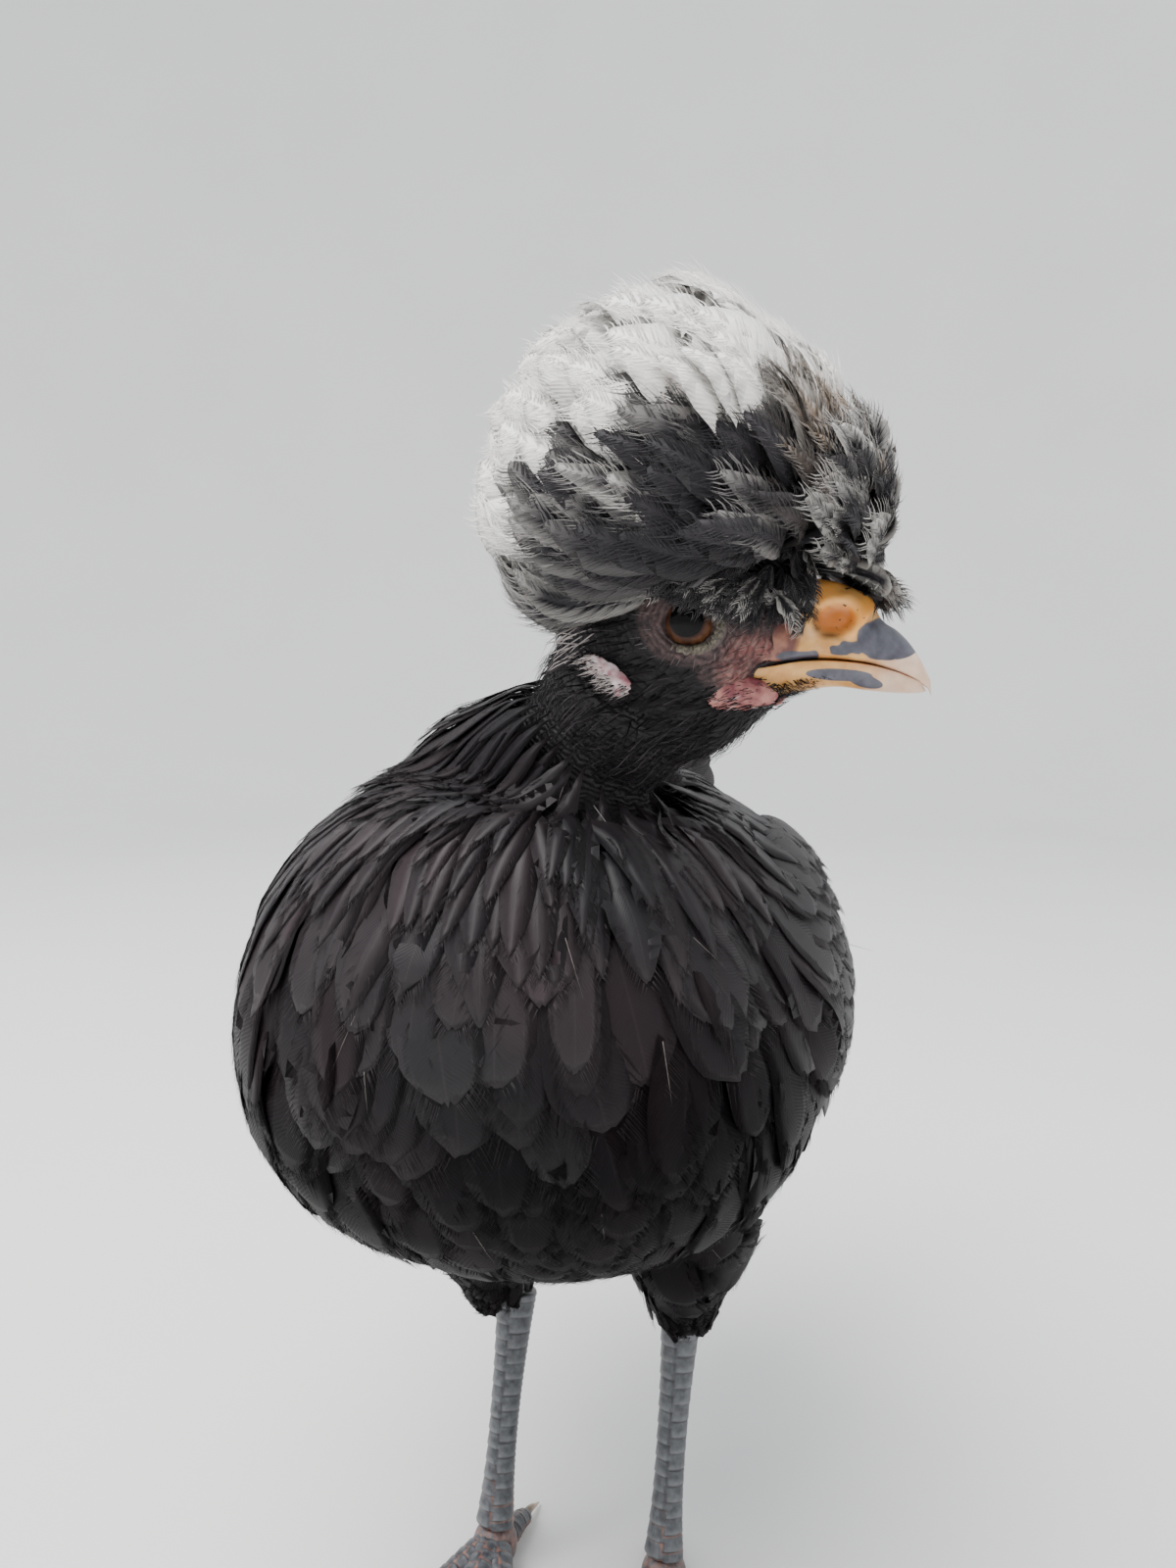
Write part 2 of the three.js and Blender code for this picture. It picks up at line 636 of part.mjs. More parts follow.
function buildHead() {
  const sides = Object.values(SIDES);
  const bulk = join([headForm(), ...sides.map(lidForm), ...sides.map((side) => sideForm(EAR, side))]);
  const eyes = sides.map((side) => solid(eyeForm(side, GAP)));
  head.add(node("head", cutClear(bulk, solid(billUpper(GAP)), solid(billLower(GAP)), ...eyes), FACE_SKIN, head));
  const nostrils = sides.map((side) => solid(sideForm(BILL.nostril, side)));
  head.add(node("bill_upper", cutClear(solid(billUpper()), solid(billLower(GAP / 2)), ...nostrils), BILL_HORN, head));
  head.add(node("bill_lower", cutClear(solid(billLower()), solid(billUpper(GAP / 2))), BILL_HORN, head));
  for (const [name, side] of Object.entries(SIDES)) {
    head.add(node("eye_" + name, solid(eyeForm(side)), EYE_GLOSS, head));
    const lobe = cutClear(solid(sideForm(EARLOBE, side)), headRoom);
    head.add(node("earlobe_" + name, lobe, LOBE_SKIN, head));
    const billRoom = [billUpper(GAP), billLower(GAP)].map(solid);
    head.add(node("wattle_" + name, cutClear(solid(sideForm(WATTLE, side)), headRoom, ...billRoom), WATTLE_SKIN, head));
  }
}

function buildCrest() {
  const { place, size } = CREST.core;
  const grown = [...crestFeathers(), ellipsoid(place, size, 0, [16, 10])];
  const whole = join(grown.map(inHead));
  const sides = Object.values(SIDES);
  const details = sides.flatMap((side) => [
    lidForm(side),
    eyeForm(side, GAP),
    sideForm(WATTLE, side, GAP),
    sideForm(EARLOBE, side, GAP),
  ]);
  const clear = cutClear(whole, headRoom, neckRoom, torsoRoom, join([...details, billUpper(GAP), billLower(GAP)]));
  const [first, second] = pieces(clear.subtract(solid(inHead(crestPartingBell()))));
  const height = (made) => made.boundingBox().max[2];
  const [top, rim] = height(first) > height(second) ? [first, second] : [second, first];
  head.add(node("crest_top", top, FEATHER_WHITE, head));
  head.add(node("crest_rim", rim, FEATHER_BLACK, head));
}

function buildLeg(name, side) {
  const leg = new THREE.Group();
  leg.position.set(side * LEG.x + LEG.aside, LEG.y, 0);
  leg.updateMatrix();
  const mirror = (geometry) => geometry.scale(side, 1, 1);
  leg.add(node("shank_" + name, solid(mirror(shankForm())), LEG_SCALE));
  leg.add(node("foot_" + name, solid(mirror(footGeometry())), LEG_SCALE));
  for (const toe of TOES) {
    leg.add(node(`claw_${toe.name}_${name}`, solid(mirror(clawForm(toe, 1))), CLAW_HORN));
  }
  return leg;
}

// The left foot's joined shape as a geometry, so that the right one can mirror it.
function footGeometry() {
  return node("foot", footForm(1), LEG_SCALE).geometry;
}

function buildThigh(name, side) {
  const thigh = limb(THIGH.path, THIGH.radii, THIGH.sides).scale(side, 1, 1).translate(LEG.aside, 0, 0);
  const socket = shankForm(GAP).scale(side, 1, 1).translate(side * LEG.x + LEG.aside, LEG.y, 0);
  return node("thigh_" + name, cutClear(solid(thigh), torsoRoom, solid(socket)), FEATHER_BLACK);
}

const bird = new THREE.Group();
bird.add(node("torso", torsoSolid, FEATHER_BLACK));
const lobeRoom = join(Object.values(SIDES).map((side) => sideForm(EARLOBE, side, GAP)));
bird.add(node("neck", cutClear(solid(neckForm(0)), torsoRoom, headRoom, lobeRoom), FEATHER_BLACK));
bird.add(node("tail", cutClear(tailForm(), torsoRoom), FEATHER_BLACK));
for (const [name, side] of Object.entries(SIDES)) {
  bird.add(node("wing_" + name, cutClear(wingForm(side), torsoRoom, neckRoom), FEATHER_BLACK));
  bird.add(buildThigh(name, side));
  bird.add(buildLeg(name, side));
}
buildHead();
buildCrest();
bird.add(head);

// The part's origin is the middle of its own box, on the floor.
const model = new THREE.Group();
model.add(bird);
const box = new THREE.Box3().setFromObject(bird, true);
bird.position.set(-(box.min.x + box.max.x) / 2, -(box.min.y + box.max.y) / 2, -box.min.z);

export default model;
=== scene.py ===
"""A young white-crested black chicken, life size, standing on a plain pale floor in soft light.

Shapes are worked out in millimetres in the bird's own frame: it faces -Y, its left is +X, +Z is up
and the floor is z = 0. The head has a frame of its own, between the eyes: +X along the bill, +Y to
the head's left, +Z to the crown.
"""

import math

import bpy
import numpy as np
from mathutils import Matrix, Vector, noise
from mathutils.bvhtree import BVHTree


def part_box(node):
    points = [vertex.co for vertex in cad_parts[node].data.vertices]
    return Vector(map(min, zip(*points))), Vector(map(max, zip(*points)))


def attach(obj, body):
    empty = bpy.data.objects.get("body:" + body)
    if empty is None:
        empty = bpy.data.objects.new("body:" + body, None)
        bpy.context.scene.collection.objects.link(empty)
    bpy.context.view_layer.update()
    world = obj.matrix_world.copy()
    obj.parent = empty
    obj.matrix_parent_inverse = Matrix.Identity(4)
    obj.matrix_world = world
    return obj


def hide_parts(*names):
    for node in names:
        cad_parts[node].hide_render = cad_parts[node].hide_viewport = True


MM = 0.001
SEED = 20


def table(keys, *rows):
    return [dict(zip(keys.split(), row)) for row in rows]


# Where the head stands in the bird's frame, and how far the bill is dipped.
HEAD_PLACE = np.array([35.5, -41.5, 208.5])
HEAD_DIP = math.radians(15)

# Each feather has a small patch of its own in the colour map: body feathers below, the crest's above.
BAKE_PATCH, BAKE_CELL = 0.0026, 0.003
BODY_BAKE = (np.array([0, 10, 140.0]), (0.0, 0.7))
HEAD_BAKE = (HEAD_PLACE, (0.7, 1.0))

# The camera looks at the chest from the bird's left of centre, close up, with a wide lens.
CAMERA_PLACE = np.array([63.6, -231.0, 195.0])
CAMERA_AZIMUTH = math.radians(14)
CAMERA_DOWN = math.radians(3.9)
CAMERA_LENS = 26.0
SENSOR_LONG_SIDE = 36.0

# Flesh under the coat: the solids it fills, the fineness of its mesh, how far they are grown to run
# into each other, and how far the skin then lies inside the outline, by region.
FLESH_NODES = ("torso", "neck", "head", "thigh_left", "thigh_right")
SKIN_VOXEL = 1.1
SKIN_GROW = 0.35
COAT_DEPTH = {"torso": 5.0, "neck": 3.6, "head": 0.7, "thigh": 3.2}
# Length, width and spacing of feathers, by region.
FEATHERS = {
    "breast": (30.0, 13.5, 4.6), "back": (29.0, 12.0, 4.7),
    "cape": (26.0, 5.4, 2.25), "neck": (22.0, 2.9, 1.5), "head": (4.0, 1.0, 0.95),
    "thigh": (16.0, 8.0, 3.6), "hock": (10.5, 4.4, 2.2), "shoulder": (18.0, 8.0, 3.6),
}
# Groups of the body's coat: outline, points along and across a vane, barbs on each side, the most
# feathers in one piece, and look.
COAT_GROUPS = {
    "coat_neck": ("hackle", 9, 3, 8, 1800, "middle"),
    "coat_hackle": ("hackle", 10, 3, 22, 900, "bright"),
    "coat_breast": ("broad", 10, 7, 34, 420, "bright"),
    "coat_flank": ("broad", 9, 5, 22, 640, "bright"),
    "coat_side": ("broad", 9, 5, 26, 560, "middle"),
    "coat_belly": ("broad", 9, 5, 30, 560, "low"),
    "coat_vent": ("broad", 8, 5, 9, 700, "low"),
}
# The neck's middle line: height, and the place across and along the bird.
NECK_LINE = np.array([(150, 0, -20), (172, 4, -27), (187, 14, -36), (199, 25, -42)], float)
# Naked patches beside the bill in side view, along and up, and how far each reaches.
LORE_PATCHES, LORE_REACH = [(11, 1), (16, 3.5), (7, -5)], 4.2

# The crest is a globe of feathers, in the head's frame. They rise from the crown and flow away from
# the forehead: over the top and sides to the back, and in front down over the bill.
CREST = {
    "axis": np.array([-0.375, 0.0, 0.927]),
    "source": np.array([0.985, 0.0, -0.17]),
    "centre": np.array([-7.6, 0.0, 20.0]),
    "radius": 33.7,
    "skull_place": np.array([-3.0, 0.0, 4.0]),
    "skull_size": np.array([14.0, 9.0, 12.5]),
    "sweep": math.radians(44),
    "layers": table(
        "count radius reach width",
        (560, (0.93, 1.03), 118, (10.5, 14.5)),
        (240, (0.82, 0.92), 120, (9.0, 12.0)),
        (110, (0.62, 0.78), 126, (8.0, 10.0)),
    ),
    "side_reach": math.radians(108),
    "front_flat": 0.13,
}
# Small round feathers that fan out from the forehead over the front of the crest. Angles are in
# degrees from the crest's source.
FORELOCK = {"count": 380, "start": 30.0, "reach": (15.0, 25.0), "width": (5.6, 8.2), "radius": 32.2}
# White as far as this angle from the crest's axis, further at the back than in front.
WHITE_EDGE = {"side": 70.0, "front": -10.0, "back": 13.0, "blur": 6.5}

# How wide a feather is along its shaft, by kind.
OUTLINES = {
    "broad": [
        (0, 0.04), (0.1, 0.3), (0.25, 0.7), (0.55, 1.0), (0.8, 0.98), (0.91, 0.82), (0.97, 0.55), (1, 0.2),
    ],
    "hackle": [(0, 0.04), (0.12, 0.35), (0.28, 0.85), (0.55, 1.0), (0.8, 0.72), (0.93, 0.4), (1, 0.08)],
    "flight": [
        (0, 0.25), (0.2, 0.72), (0.5, 0.95), (0.72, 1.0), (0.85, 0.9), (0.93, 0.68), (0.98, 0.4), (1, 0.12),
    ],
    "crest": [(0, 0.12), (0.3, 0.4), (0.6, 0.95), (0.8, 0.85), (1, 0.15)],
    "round": [(0, 0.15), (0.3, 0.55), (0.6, 0.95), (0.82, 1.0), (0.94, 0.7), (1, 0.25)],
}
# Free barbs: lean towards the tip, reach and start as shares of the half width, thickness and sag.
COAT_BARBS = {"lean": 2.0, "reach": 0.85, "thick": 0.14, "start": 0.62, "sag": 0.03, "fine": True}
CREST_BARBS = {"lean": 1.35, "reach": 1.05, "thick": 0.19, "start": 0.08, "sag": 0.1, "fine": False}

# Faces of a curved barb, with three corners at its foot, three at its knee and a tip, and of a straight
# one, with three corners at its foot and a tip.
SPIKE_FACES = np.array([
    [0, 1, 4], [0, 4, 3], [1, 2, 5], [1, 5, 4], [2, 0, 3],
    [2, 3, 5], [3, 4, 6], [4, 5, 6], [5, 3, 6], [0, 2, 1],
])
THORN_FACES = np.array([[0, 1, 3], [1, 2, 3], [2, 0, 3], [0, 2, 1]])
# Roots are kept apart with a grid of cells, each a little wider than the coat's widest spacing.
GRID_CELL = 5.4
NEIGHBOURS = [(dx, dy, dz) for dx in (-1, 0, 1) for dy in (-1, 0, 1) for dz in (-1, 0, 1)]

# A folded wing lies on a bowl-shaped side of the body.
WING_REACH = 58.0
WING_CENTRE = (4.0, 131.0)
WING_CURVE = (118.0, 60.0)
WING_PAD = {
    "place": np.array([1.0, 0.0, 145.0]),
    "size": np.array([3.4, 35.0, 26.0]),
    "tilt": math.radians(-8),
}
# Feather tiers. Roots and tips are those of the first and the last feather, as (y, z), and the lift
# is the stand-off at the root and at the tip.
WING_TIERS = table(
    "count root tip width lift",
    (9, [(20, 143), (18, 130)], [(99, 143), (84, 115)], 14, (-1.0, -0.6)),
    (12, [(6, 159), (-2, 126)], [(80, 158), (66, 105)], 14, (0.6, 1.5)),
    (10, [(-12, 158), (-18, 127)], [(38, 161), (28, 107)], 12, (-3.0, 1.8)),
    (10, [(-22, 156), (-26, 130)], [(16, 161), (8, 112)], 11, (-3.5, 2.1)),
)
WING_SHINGLE = 0.17

# The tail, a narrow fan over the rump, bent like a roof.
TAIL_ROOT = np.array([0.0, 80.0, 160.0])
TAIL_RISE = math.radians(11)
TAIL_TIERS = table(
    "pairs length width start fan lean lift tuck",
    (7, 77, 17, 4, (9, -20), (28, 62), 0.0, 0.9),
    (6, 52, 15, 0, (8, -22), (26, 64), 3.0, 0.8),
    (6, 36, 13, -6, (6, -24), (20, 62), 5.0, 0.6),
)

# Legs: the bare shank runs from hock to ankle. Headings are measured outwards from straight ahead.
LEG_X, LEG_ASIDE, LEG_Y = 19.5, 3.0, 2.0
HOCK = np.array([1.5, 12.0, 56.0])
ANKLE = np.array([0.0, 1.0, 11.0])
TOES = table(
    "name heading length base end scutes",
    ("inner", -27, 27, 2.9, 1.9, 11),
    ("middle", 4, 37, 3.1, 2.0, 15),
    ("outer", 35, 30, 2.9, 1.8, 12),
    ("hind", 192, 14, 2.5, 1.8, 6),
)

# The bill in the head's frame. Rows: place along the bill, top, bottom, half width.
BILL = {
    "upper": [
        (9, 11.2, -5.2, 9.8), (14, 11.8, -3.2, 8.4), (19, 11.9, -0.9, 6.9), (23.5, 11.7, 0.3, 6.1),
        (26, 10.9, 0.7, 5.6), (28.2, 8.5, 1.0, 5.0), (31.5, 7.1, 1.0, 4.1), (34, 5.5, 0.8, 3.2),
        (36.5, 3.1, 0.3, 2.2), (38.4, 0.9, -0.5, 1.1),
    ],
    "upper_tip": (39.2, 0, -1.5),
    "upper_middle": 0.07,
    "lower": [
        (8, -5.8, -10.8, 9.6), (13, -4.0, -9.3, 8.2), (18, -1.7, -7.0, 6.4), (24, -0.1, -4.4, 4.7),
        (30, 0.6, -3.5, 3.3), (34, 0.4, -2.8, 2.1), (37.2, -0.2, -2.0, 0.9),
    ],
    "lower_tip": (38.2, 0, -1.4),
    "lower_middle": 0.93,
    "shift": -0.22,
}
# Ovals in side view: place along and up, half length, half height, tilt in degrees. The slate spots
# are dark horn.
NOSTRIL = {"oval": (21.5, 6.1, 3.6, 2.8, 25), "depth": 1.8}
SLATE_SPOTS = {
    "upper": [(30.6, 5.6, 5.4, 3.7, 22), (25.0, 2.3, 3.4, 1.1, 22), (17.4, -0.9, 3.4, 1.0, 16)],
    "lower": [(24.4, -2.2, 5.2, 0.95, 12), (28.8, -2.2, 2.6, 0.9, 4)],
}
EAR_TUFT = np.array([-17.0, 11.0, -7.2])
EYE = {"place": np.array([0, 8.3, 0]), "radius": 5.6, "pupil": 2.7, "iris": 4.35}
# The eyelid is a ring: half length and half height at its inner and its outer edge.
LID = {"place": 12.6, "length": (4.45, 6.5), "height": (3.75, 5.8), "rise": 0.9, "sides": 96, "section": 16}
# Lobes and wattles are flat ellipsoids with hairs over them, a share of which are white.
EARLOBE, WATTLE = table(
    "place size tilt wrinkle hairs white",
    (np.array([-10, 12.6, -11.4]), np.array([4.5, 0.95, 1.75]), math.radians(-26), 0.22, 420, 0.6),
    (np.array([8.9, 8.4, -9.2]), np.array([7.4, 1.7, 2.8]), math.radians(12), 0.09, 300, 0.12),
)
CHIN_HAIRS = 1000

# Shank and claw sizes. Rows: share of the way from ankle to hock, half width, half depth.
SHANK = [(0, 4.1, 4.2), (0.12, 3.5, 3.9), (0.55, 3.1, 3.7), (0.85, 3.8, 4.8), (1, 4.4, 5.6)]
SHANK_SCUTES, SCUTE_RISE, TOE_RISE = 15, 0.5, 0.38
CLAW_LENGTH, CLAW_RADIUS = 8.5, 1.5
# The ball of the foot: its middle and half sizes.
FOOT_BALL = (np.array([0, 0.6, 4.8]), np.array([5.0, 5.4, 5.6]))

# The stage, in metres: a flat floor, a quarter turn up and a wall.
STAGE = {"flat": 1.6, "bend": 0.9, "wall": 2.4}
SKY = {"colour": (0.93, 0.96, 1.0, 1), "strength": 1.5}
LIGHT_AIM = (0, 0, 0.15)
LIGHTS = [
    ("sky_panel", (-0.3, -0.5, 1.35), 1.1, 34, (1.0, 0.98, 0.96)),
    ("left_panel", (-1.1, -0.6, 0.9), 0.9, 4, (0.95, 0.97, 1)),
]

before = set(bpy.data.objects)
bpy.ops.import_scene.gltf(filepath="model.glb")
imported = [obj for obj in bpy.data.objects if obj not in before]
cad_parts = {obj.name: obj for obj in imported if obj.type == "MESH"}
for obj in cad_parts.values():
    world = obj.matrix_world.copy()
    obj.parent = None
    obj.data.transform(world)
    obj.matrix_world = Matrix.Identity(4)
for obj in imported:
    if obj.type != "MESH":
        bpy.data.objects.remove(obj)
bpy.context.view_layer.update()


def box_middle(node):
    low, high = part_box(node)
    return (np.array(low) + np.array(high)) / 2 / MM


# The part's origin is the middle of its box's base. The bird's frame is shifted to it by the eyes' place.
SHIFT = (box_middle("eye_left") + box_middle("eye_right")) / 2 - HEAD_PLACE
HEAD_TURN = np.array(Matrix.Rotation(HEAD_DIP, 3, "Y"))


def head_to_bird(points):
    return head_ways(np.asarray(points, float)) + HEAD_PLACE


def bird_to_head(points):
    return (np.asarray(points, float) - HEAD_PLACE) @ HEAD_TURN


def unit(ways):
    return ways / (np.linalg.norm(ways, axis=-1, keepdims=True) + 1e-9)


def reach_of(ways):
    return np.linalg.norm(ways, axis=1)


def ramp(value, low, high):
    share = np.clip((value - low) / (high - low), 0, 1)
    return share * share * (3 - 2 * share)


def vectors(x, y, z):
    """Rows of x, y and z, any of which may be one number for all rows."""
    return np.stack(np.broadcast_arrays(x, y, z), -1)


def mix(a, b, share):
    share = np.asarray(share)
    if np.ndim(a) > np.ndim(share):
        share = share[..., None]
    return a * (1 - share) + b * share


def between(pair, share):
    return pair[0] + (pair[1] - pair[0]) * share


def cos_sin(angle):
    return math.cos(angle), math.sin(angle)


def turns(sides):
    """Angles once round, evenly spread."""
    return 2 * np.pi * np.arange(sides) / sides


def head_ways(ways):
    """Directions of the head's frame in the bird's frame."""
    return ways @ HEAD_TURN.T


# Meshes


def put_in_scene(name, data):
    made = bpy.data.objects.new(name, data)
    bpy.context.scene.collection.objects.link(made)
    return made


def settle(made, slot, *nodes):
    """What a piece rides on and which solids it stands for. What it is made of, its slot, is not used."""
    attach(made, "root")
    if nodes:
        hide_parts(*nodes)


def make_object(name, points, faces, material, values=None, uv=None, bake_uv=None):
    """A mesh object from points in millimetres and arrays of triangles or quads."""
    mesh = bpy.data.meshes.new(name)
    faces = [np.asarray(f, np.int32) for f in faces if len(f)]
    mesh.vertices.add(len(points))
    mesh.vertices.foreach_set("co", ((np.asarray(points) + SHIFT) * MM).astype(np.float32).ravel())
    corners = np.concatenate([f.ravel() for f in faces])
    sizes = np.concatenate([np.full(len(f), f.shape[1], np.int32) for f in faces])
    starts = np.concatenate([[0], np.cumsum(sizes)[:-1]]).astype(np.int32)
    mesh.loops.add(len(corners))
    mesh.loops.foreach_set("vertex_index", corners)
    mesh.polygons.add(len(sizes))
    mesh.polygons.foreach_set("loop_start", starts)
    mesh.update(calc_edges=True)
    for layer_name, coords in (("Vane", uv), ("OFBake", bake_uv)):
        if coords is not None:
            layer = mesh.uv_layers.new(name=layer_name)
            layer.data.foreach_set("uv", np.asarray(coords, np.float32)[corners].ravel())
    for key, data in (values or {}).items():
        attribute = mesh.attributes.new(key, "FLOAT", "POINT")
        attribute.data.foreach_set("value", np.asarray(data, np.float32))
    mesh.polygons.foreach_set("use_smooth", np.ones(len(sizes), bool))
    mesh.validate()
    mesh.materials.append(material)
    return put_in_scene(name, mesh)


def make_piece(name, points, faces, material, values, slot, *nodes):
    settle(make_object(name, points, faces, material, values), slot, *nodes)


def loft(rings, start=None, end=None):
    """Points and faces of a closed skin through rings of points, closed on a point at each end."""
    rings = np.asarray(rings, float)
    count, sides = rings.shape[:2]
    start = rings[0].mean(0) if start is None else np.asarray(start, float)
    end = rings[-1].mean(0) if end is None else np.asarray(end, float)
    points = np.vstack([rings.reshape(-1, 3), start, end])
    i = np.arange(sides)
    j = (i + 1) % sides
    rows = np.arange(count - 1)[:, None] * sides
    quads = np.stack([rows + i, rows + j, rows + sides + j, rows + sides + i], -1).reshape(-1, 4)
    last = (count - 1) * sides
    caps = [np.stack([np.full(sides, len(points) - 2), j, i], -1)]
    caps.append(np.stack([np.full(sides, len(points) - 1), last + i, last + j], -1))
    return points, [quads, np.vstack(caps)]


def turned_over(faces, over):
    """Faces with their outer side turned in, if they are to be turned over."""
    return [group[:, ::-1] for group in faces] if over else faces


def ring(centre, across, up, half, rise, drop, sides):
    turn = turns(sides)
    high = np.sin(turn) * np.where(np.sin(turn) > 0, rise, drop)
    return np.asarray(centre) + np.outer(np.cos(turn) * half, across) + np.outer(high, up)


def along(rows):
    """Smooth values between the rows of a table whose first column is the place along a form."""
    rows = np.array(rows, float)

    def value(place):
        place = np.clip(place, rows[0, 0], rows[-1, 0])
        slopes = np.gradient(rows[:, 1:], rows[:, 0], axis=0)
        k = np.clip(np.searchsorted(rows[:, 0], place) - 1, 0, len(rows) - 2)
        step = rows[k + 1, 0] - rows[k, 0]
        t = (place - rows[k, 0]) / step
        a, b = rows[k, 1:], rows[k + 1, 1:]
        m, n = slopes[k] * step, slopes[k + 1] * step
        from_last = (2 * t**3 - 3 * t**2 + 1) * a + (t**3 - 2 * t**2 + t) * m
        return from_last + (3 * t**2 - 2 * t**3) * b + (t**3 - t**2) * n

    return value


# Feathers


def bezier(root, bend, tip, steps):
    t = np.linspace(0, 1, steps)[:, None]
    return (1 - t) ** 2 * root[:, None] + 2 * t * (1 - t) * bend[:, None] + t**2 * tip[:, None]


def sample(paths, t):
    """Points of paths [N, K, 3] at places t [N, M] from 0 to 1."""
    steps = paths.shape[1] - 1
    place = np.clip(t, 0, 1) * steps
    k = np.minimum(place.astype(int), steps - 1)
    share = (place - k)[..., None]
    rows = np.arange(len(paths))[:, None]
    return paths[rows, k] * (1 - share) + paths[rows, k + 1] * share


def width_share(outline, t):
    places, shares = np.array(OUTLINES[outline]).T
    return np.interp(t, places, shares)


class Coat:
    """Collects feathers for one mesh. Points, faces and values of every feather are kept in arrays."""

    def __init__(self):
        self.points, self.faces, self.uv, self.bake, self.values = [], {4: [], 3: []}, [], [], {}
        self.size = 0

    def add(self, points, faces, uv, bake, values):
        """Adds feathers with points [N, P, 3], one feather's faces, and a value each."""
        count, each = points.shape[:2]
        self.points.append(points.reshape(-1, 3))
        self.uv.append(uv.reshape(-1, 2))
        self.bake.append(bake.reshape(-1, 2))
        for key, data in values.items():
            self.values.setdefault(key, []).append(np.repeat(data, each))
        starts = self.size + np.arange(count)[:, None, None] * each
        self.faces[faces.shape[1]].append((faces + starts).reshape(-1, faces.shape[1]))
        self.size += count * each

    def make(self, name, material, slot="black_feather", *nodes):
        faces = [np.concatenate(group) for group in self.faces.values() if group]
        values = {key: np.concatenate(data) for key, data in self.values.items()}
        points, uv, bake = (np.concatenate(group) for group in (self.points, self.uv, self.bake))
        settle(make_object(name, points, faces, material, values, uv, bake), slot, *nodes)


def frames(paths, outs):
    """Tangent, side and outward directions at every point of every path."""
    tangents = unit(np.gradient(paths, axis=1))
    sides = unit(np.cross(outs, tangents))
    return tangents, sides, np.cross(tangents, sides)


def add_vanes(coat, paths, outs, widths, outline, rows, columns, spots, values, camber, thick, ragged, rng):
    """Closed thin vanes along paths [N, K, 3], whose outer faces look along outs [N, K, 3]."""
    count = len(paths)
    tangents, sides, outs = frames(paths, outs)
    t = 1 - (1 - np.linspace(0, 1, rows)) ** 1.35
    u = np.linspace(-1, 1, columns)
    spread = np.broadcast_to(t[None], (count, rows))
    middle, along_way, side, out = (sample(array, spread) for array in (paths, tangents, sides, outs))
    half = widths[:, None] / 2 * width_share(outline, t)[None]
    shape = (count, rows, columns)
    offset = half[..., None] * u
    points = middle[:, :, None] + side[:, :, None] * offset[..., None]
    droop = camber * half[..., None] * u**2
    points = points - out[:, :, None] * np.broadcast_to(droop, shape)[..., None]
    back = ragged * rng.random(shape) * ramp(t, 0.55, 1)[None, :, None]
    back = back + 0.3 * half[..., None] * u**2 * ramp(t, 0.6, 0.95)[None, :, None]
    points = points - along_way[:, :, None] * back[..., None]
    inner = np.s_[:, 1:-1, 1:-1]
    under = points[inner] - np.broadcast_to(out[:, :, None], points.shape)[inner] * thick
    top_index = np.arange(rows * columns).reshape(rows, columns)
    low_index = top_index.copy()
    inside = (rows - 2, columns - 2)
    low_index[1:-1, 1:-1] = rows * columns + np.arange(math.prod(inside)).reshape(inside)

    def quads_of(index):
        return np.stack([index[:-1, :-1], index[1:, :-1], index[1:, 1:], index[:-1, 1:]], -1).reshape(-1, 4)

    quads = np.concatenate([quads_of(top_index)[:, ::-1], quads_of(low_index)])
    points = np.concatenate([points.reshape(count, -1, 3), under.reshape(count, -1, 3)], 1)
    grid = np.stack(np.broadcast_arrays((u[None, :] + 1) / 2, t[:, None]), -1)
    uv_one = np.concatenate([grid.reshape(-1, 2), grid[1:-1, 1:-1].reshape(-1, 2)])
    uv = np.broadcast_to(uv_one, (count, *uv_one.shape))
    coat.add(points, quads, uv, spots[:, None] + uv * BAKE_PATCH, values)


def add_spikes(coat, roots, headings, ends, outs, lengths, thick, sag, uv, bake, values):
    """Fine curved spikes: flat thorns with a knee, each from its root [M, 3] along its heading."""
    droop = outs * (sag * lengths)[:, None]
    knees = roots + headings * (0.55 * lengths)[:, None] - 0.35 * droop
    tips = roots + ends * lengths[:, None] - droop
    across = unit(np.cross(outs, headings))
    spokes = [across * thick, -across * thick, outs * thick * 0.5]
    feet = [roots + 0.6 * spoke for spoke in spokes]
    points = np.stack(feet + [knees + 0.4 * spoke for spoke in spokes] + [tips], 1)
    coat.add(points, SPIKE_FACES, uv, bake, values)


def add_thorns(coat, roots, ends, outs, lengths, thick, uv, bake, values):
    """Straight hair-fine thorns with a three-cornered foot."""
    across = unit(np.cross(outs, ends))
    spokes = [across * thick * 0.6, -across * thick * 0.6, outs * thick * 0.4]
    points = np.stack([roots + spoke for spoke in spokes] + [roots + ends * lengths[:, None]], 1)
    foot_and_tip = [0, 1, 2, 6]
    coat.add(points, THORN_FACES, uv[:, foot_and_tip], bake[:, foot_and_tip], values)


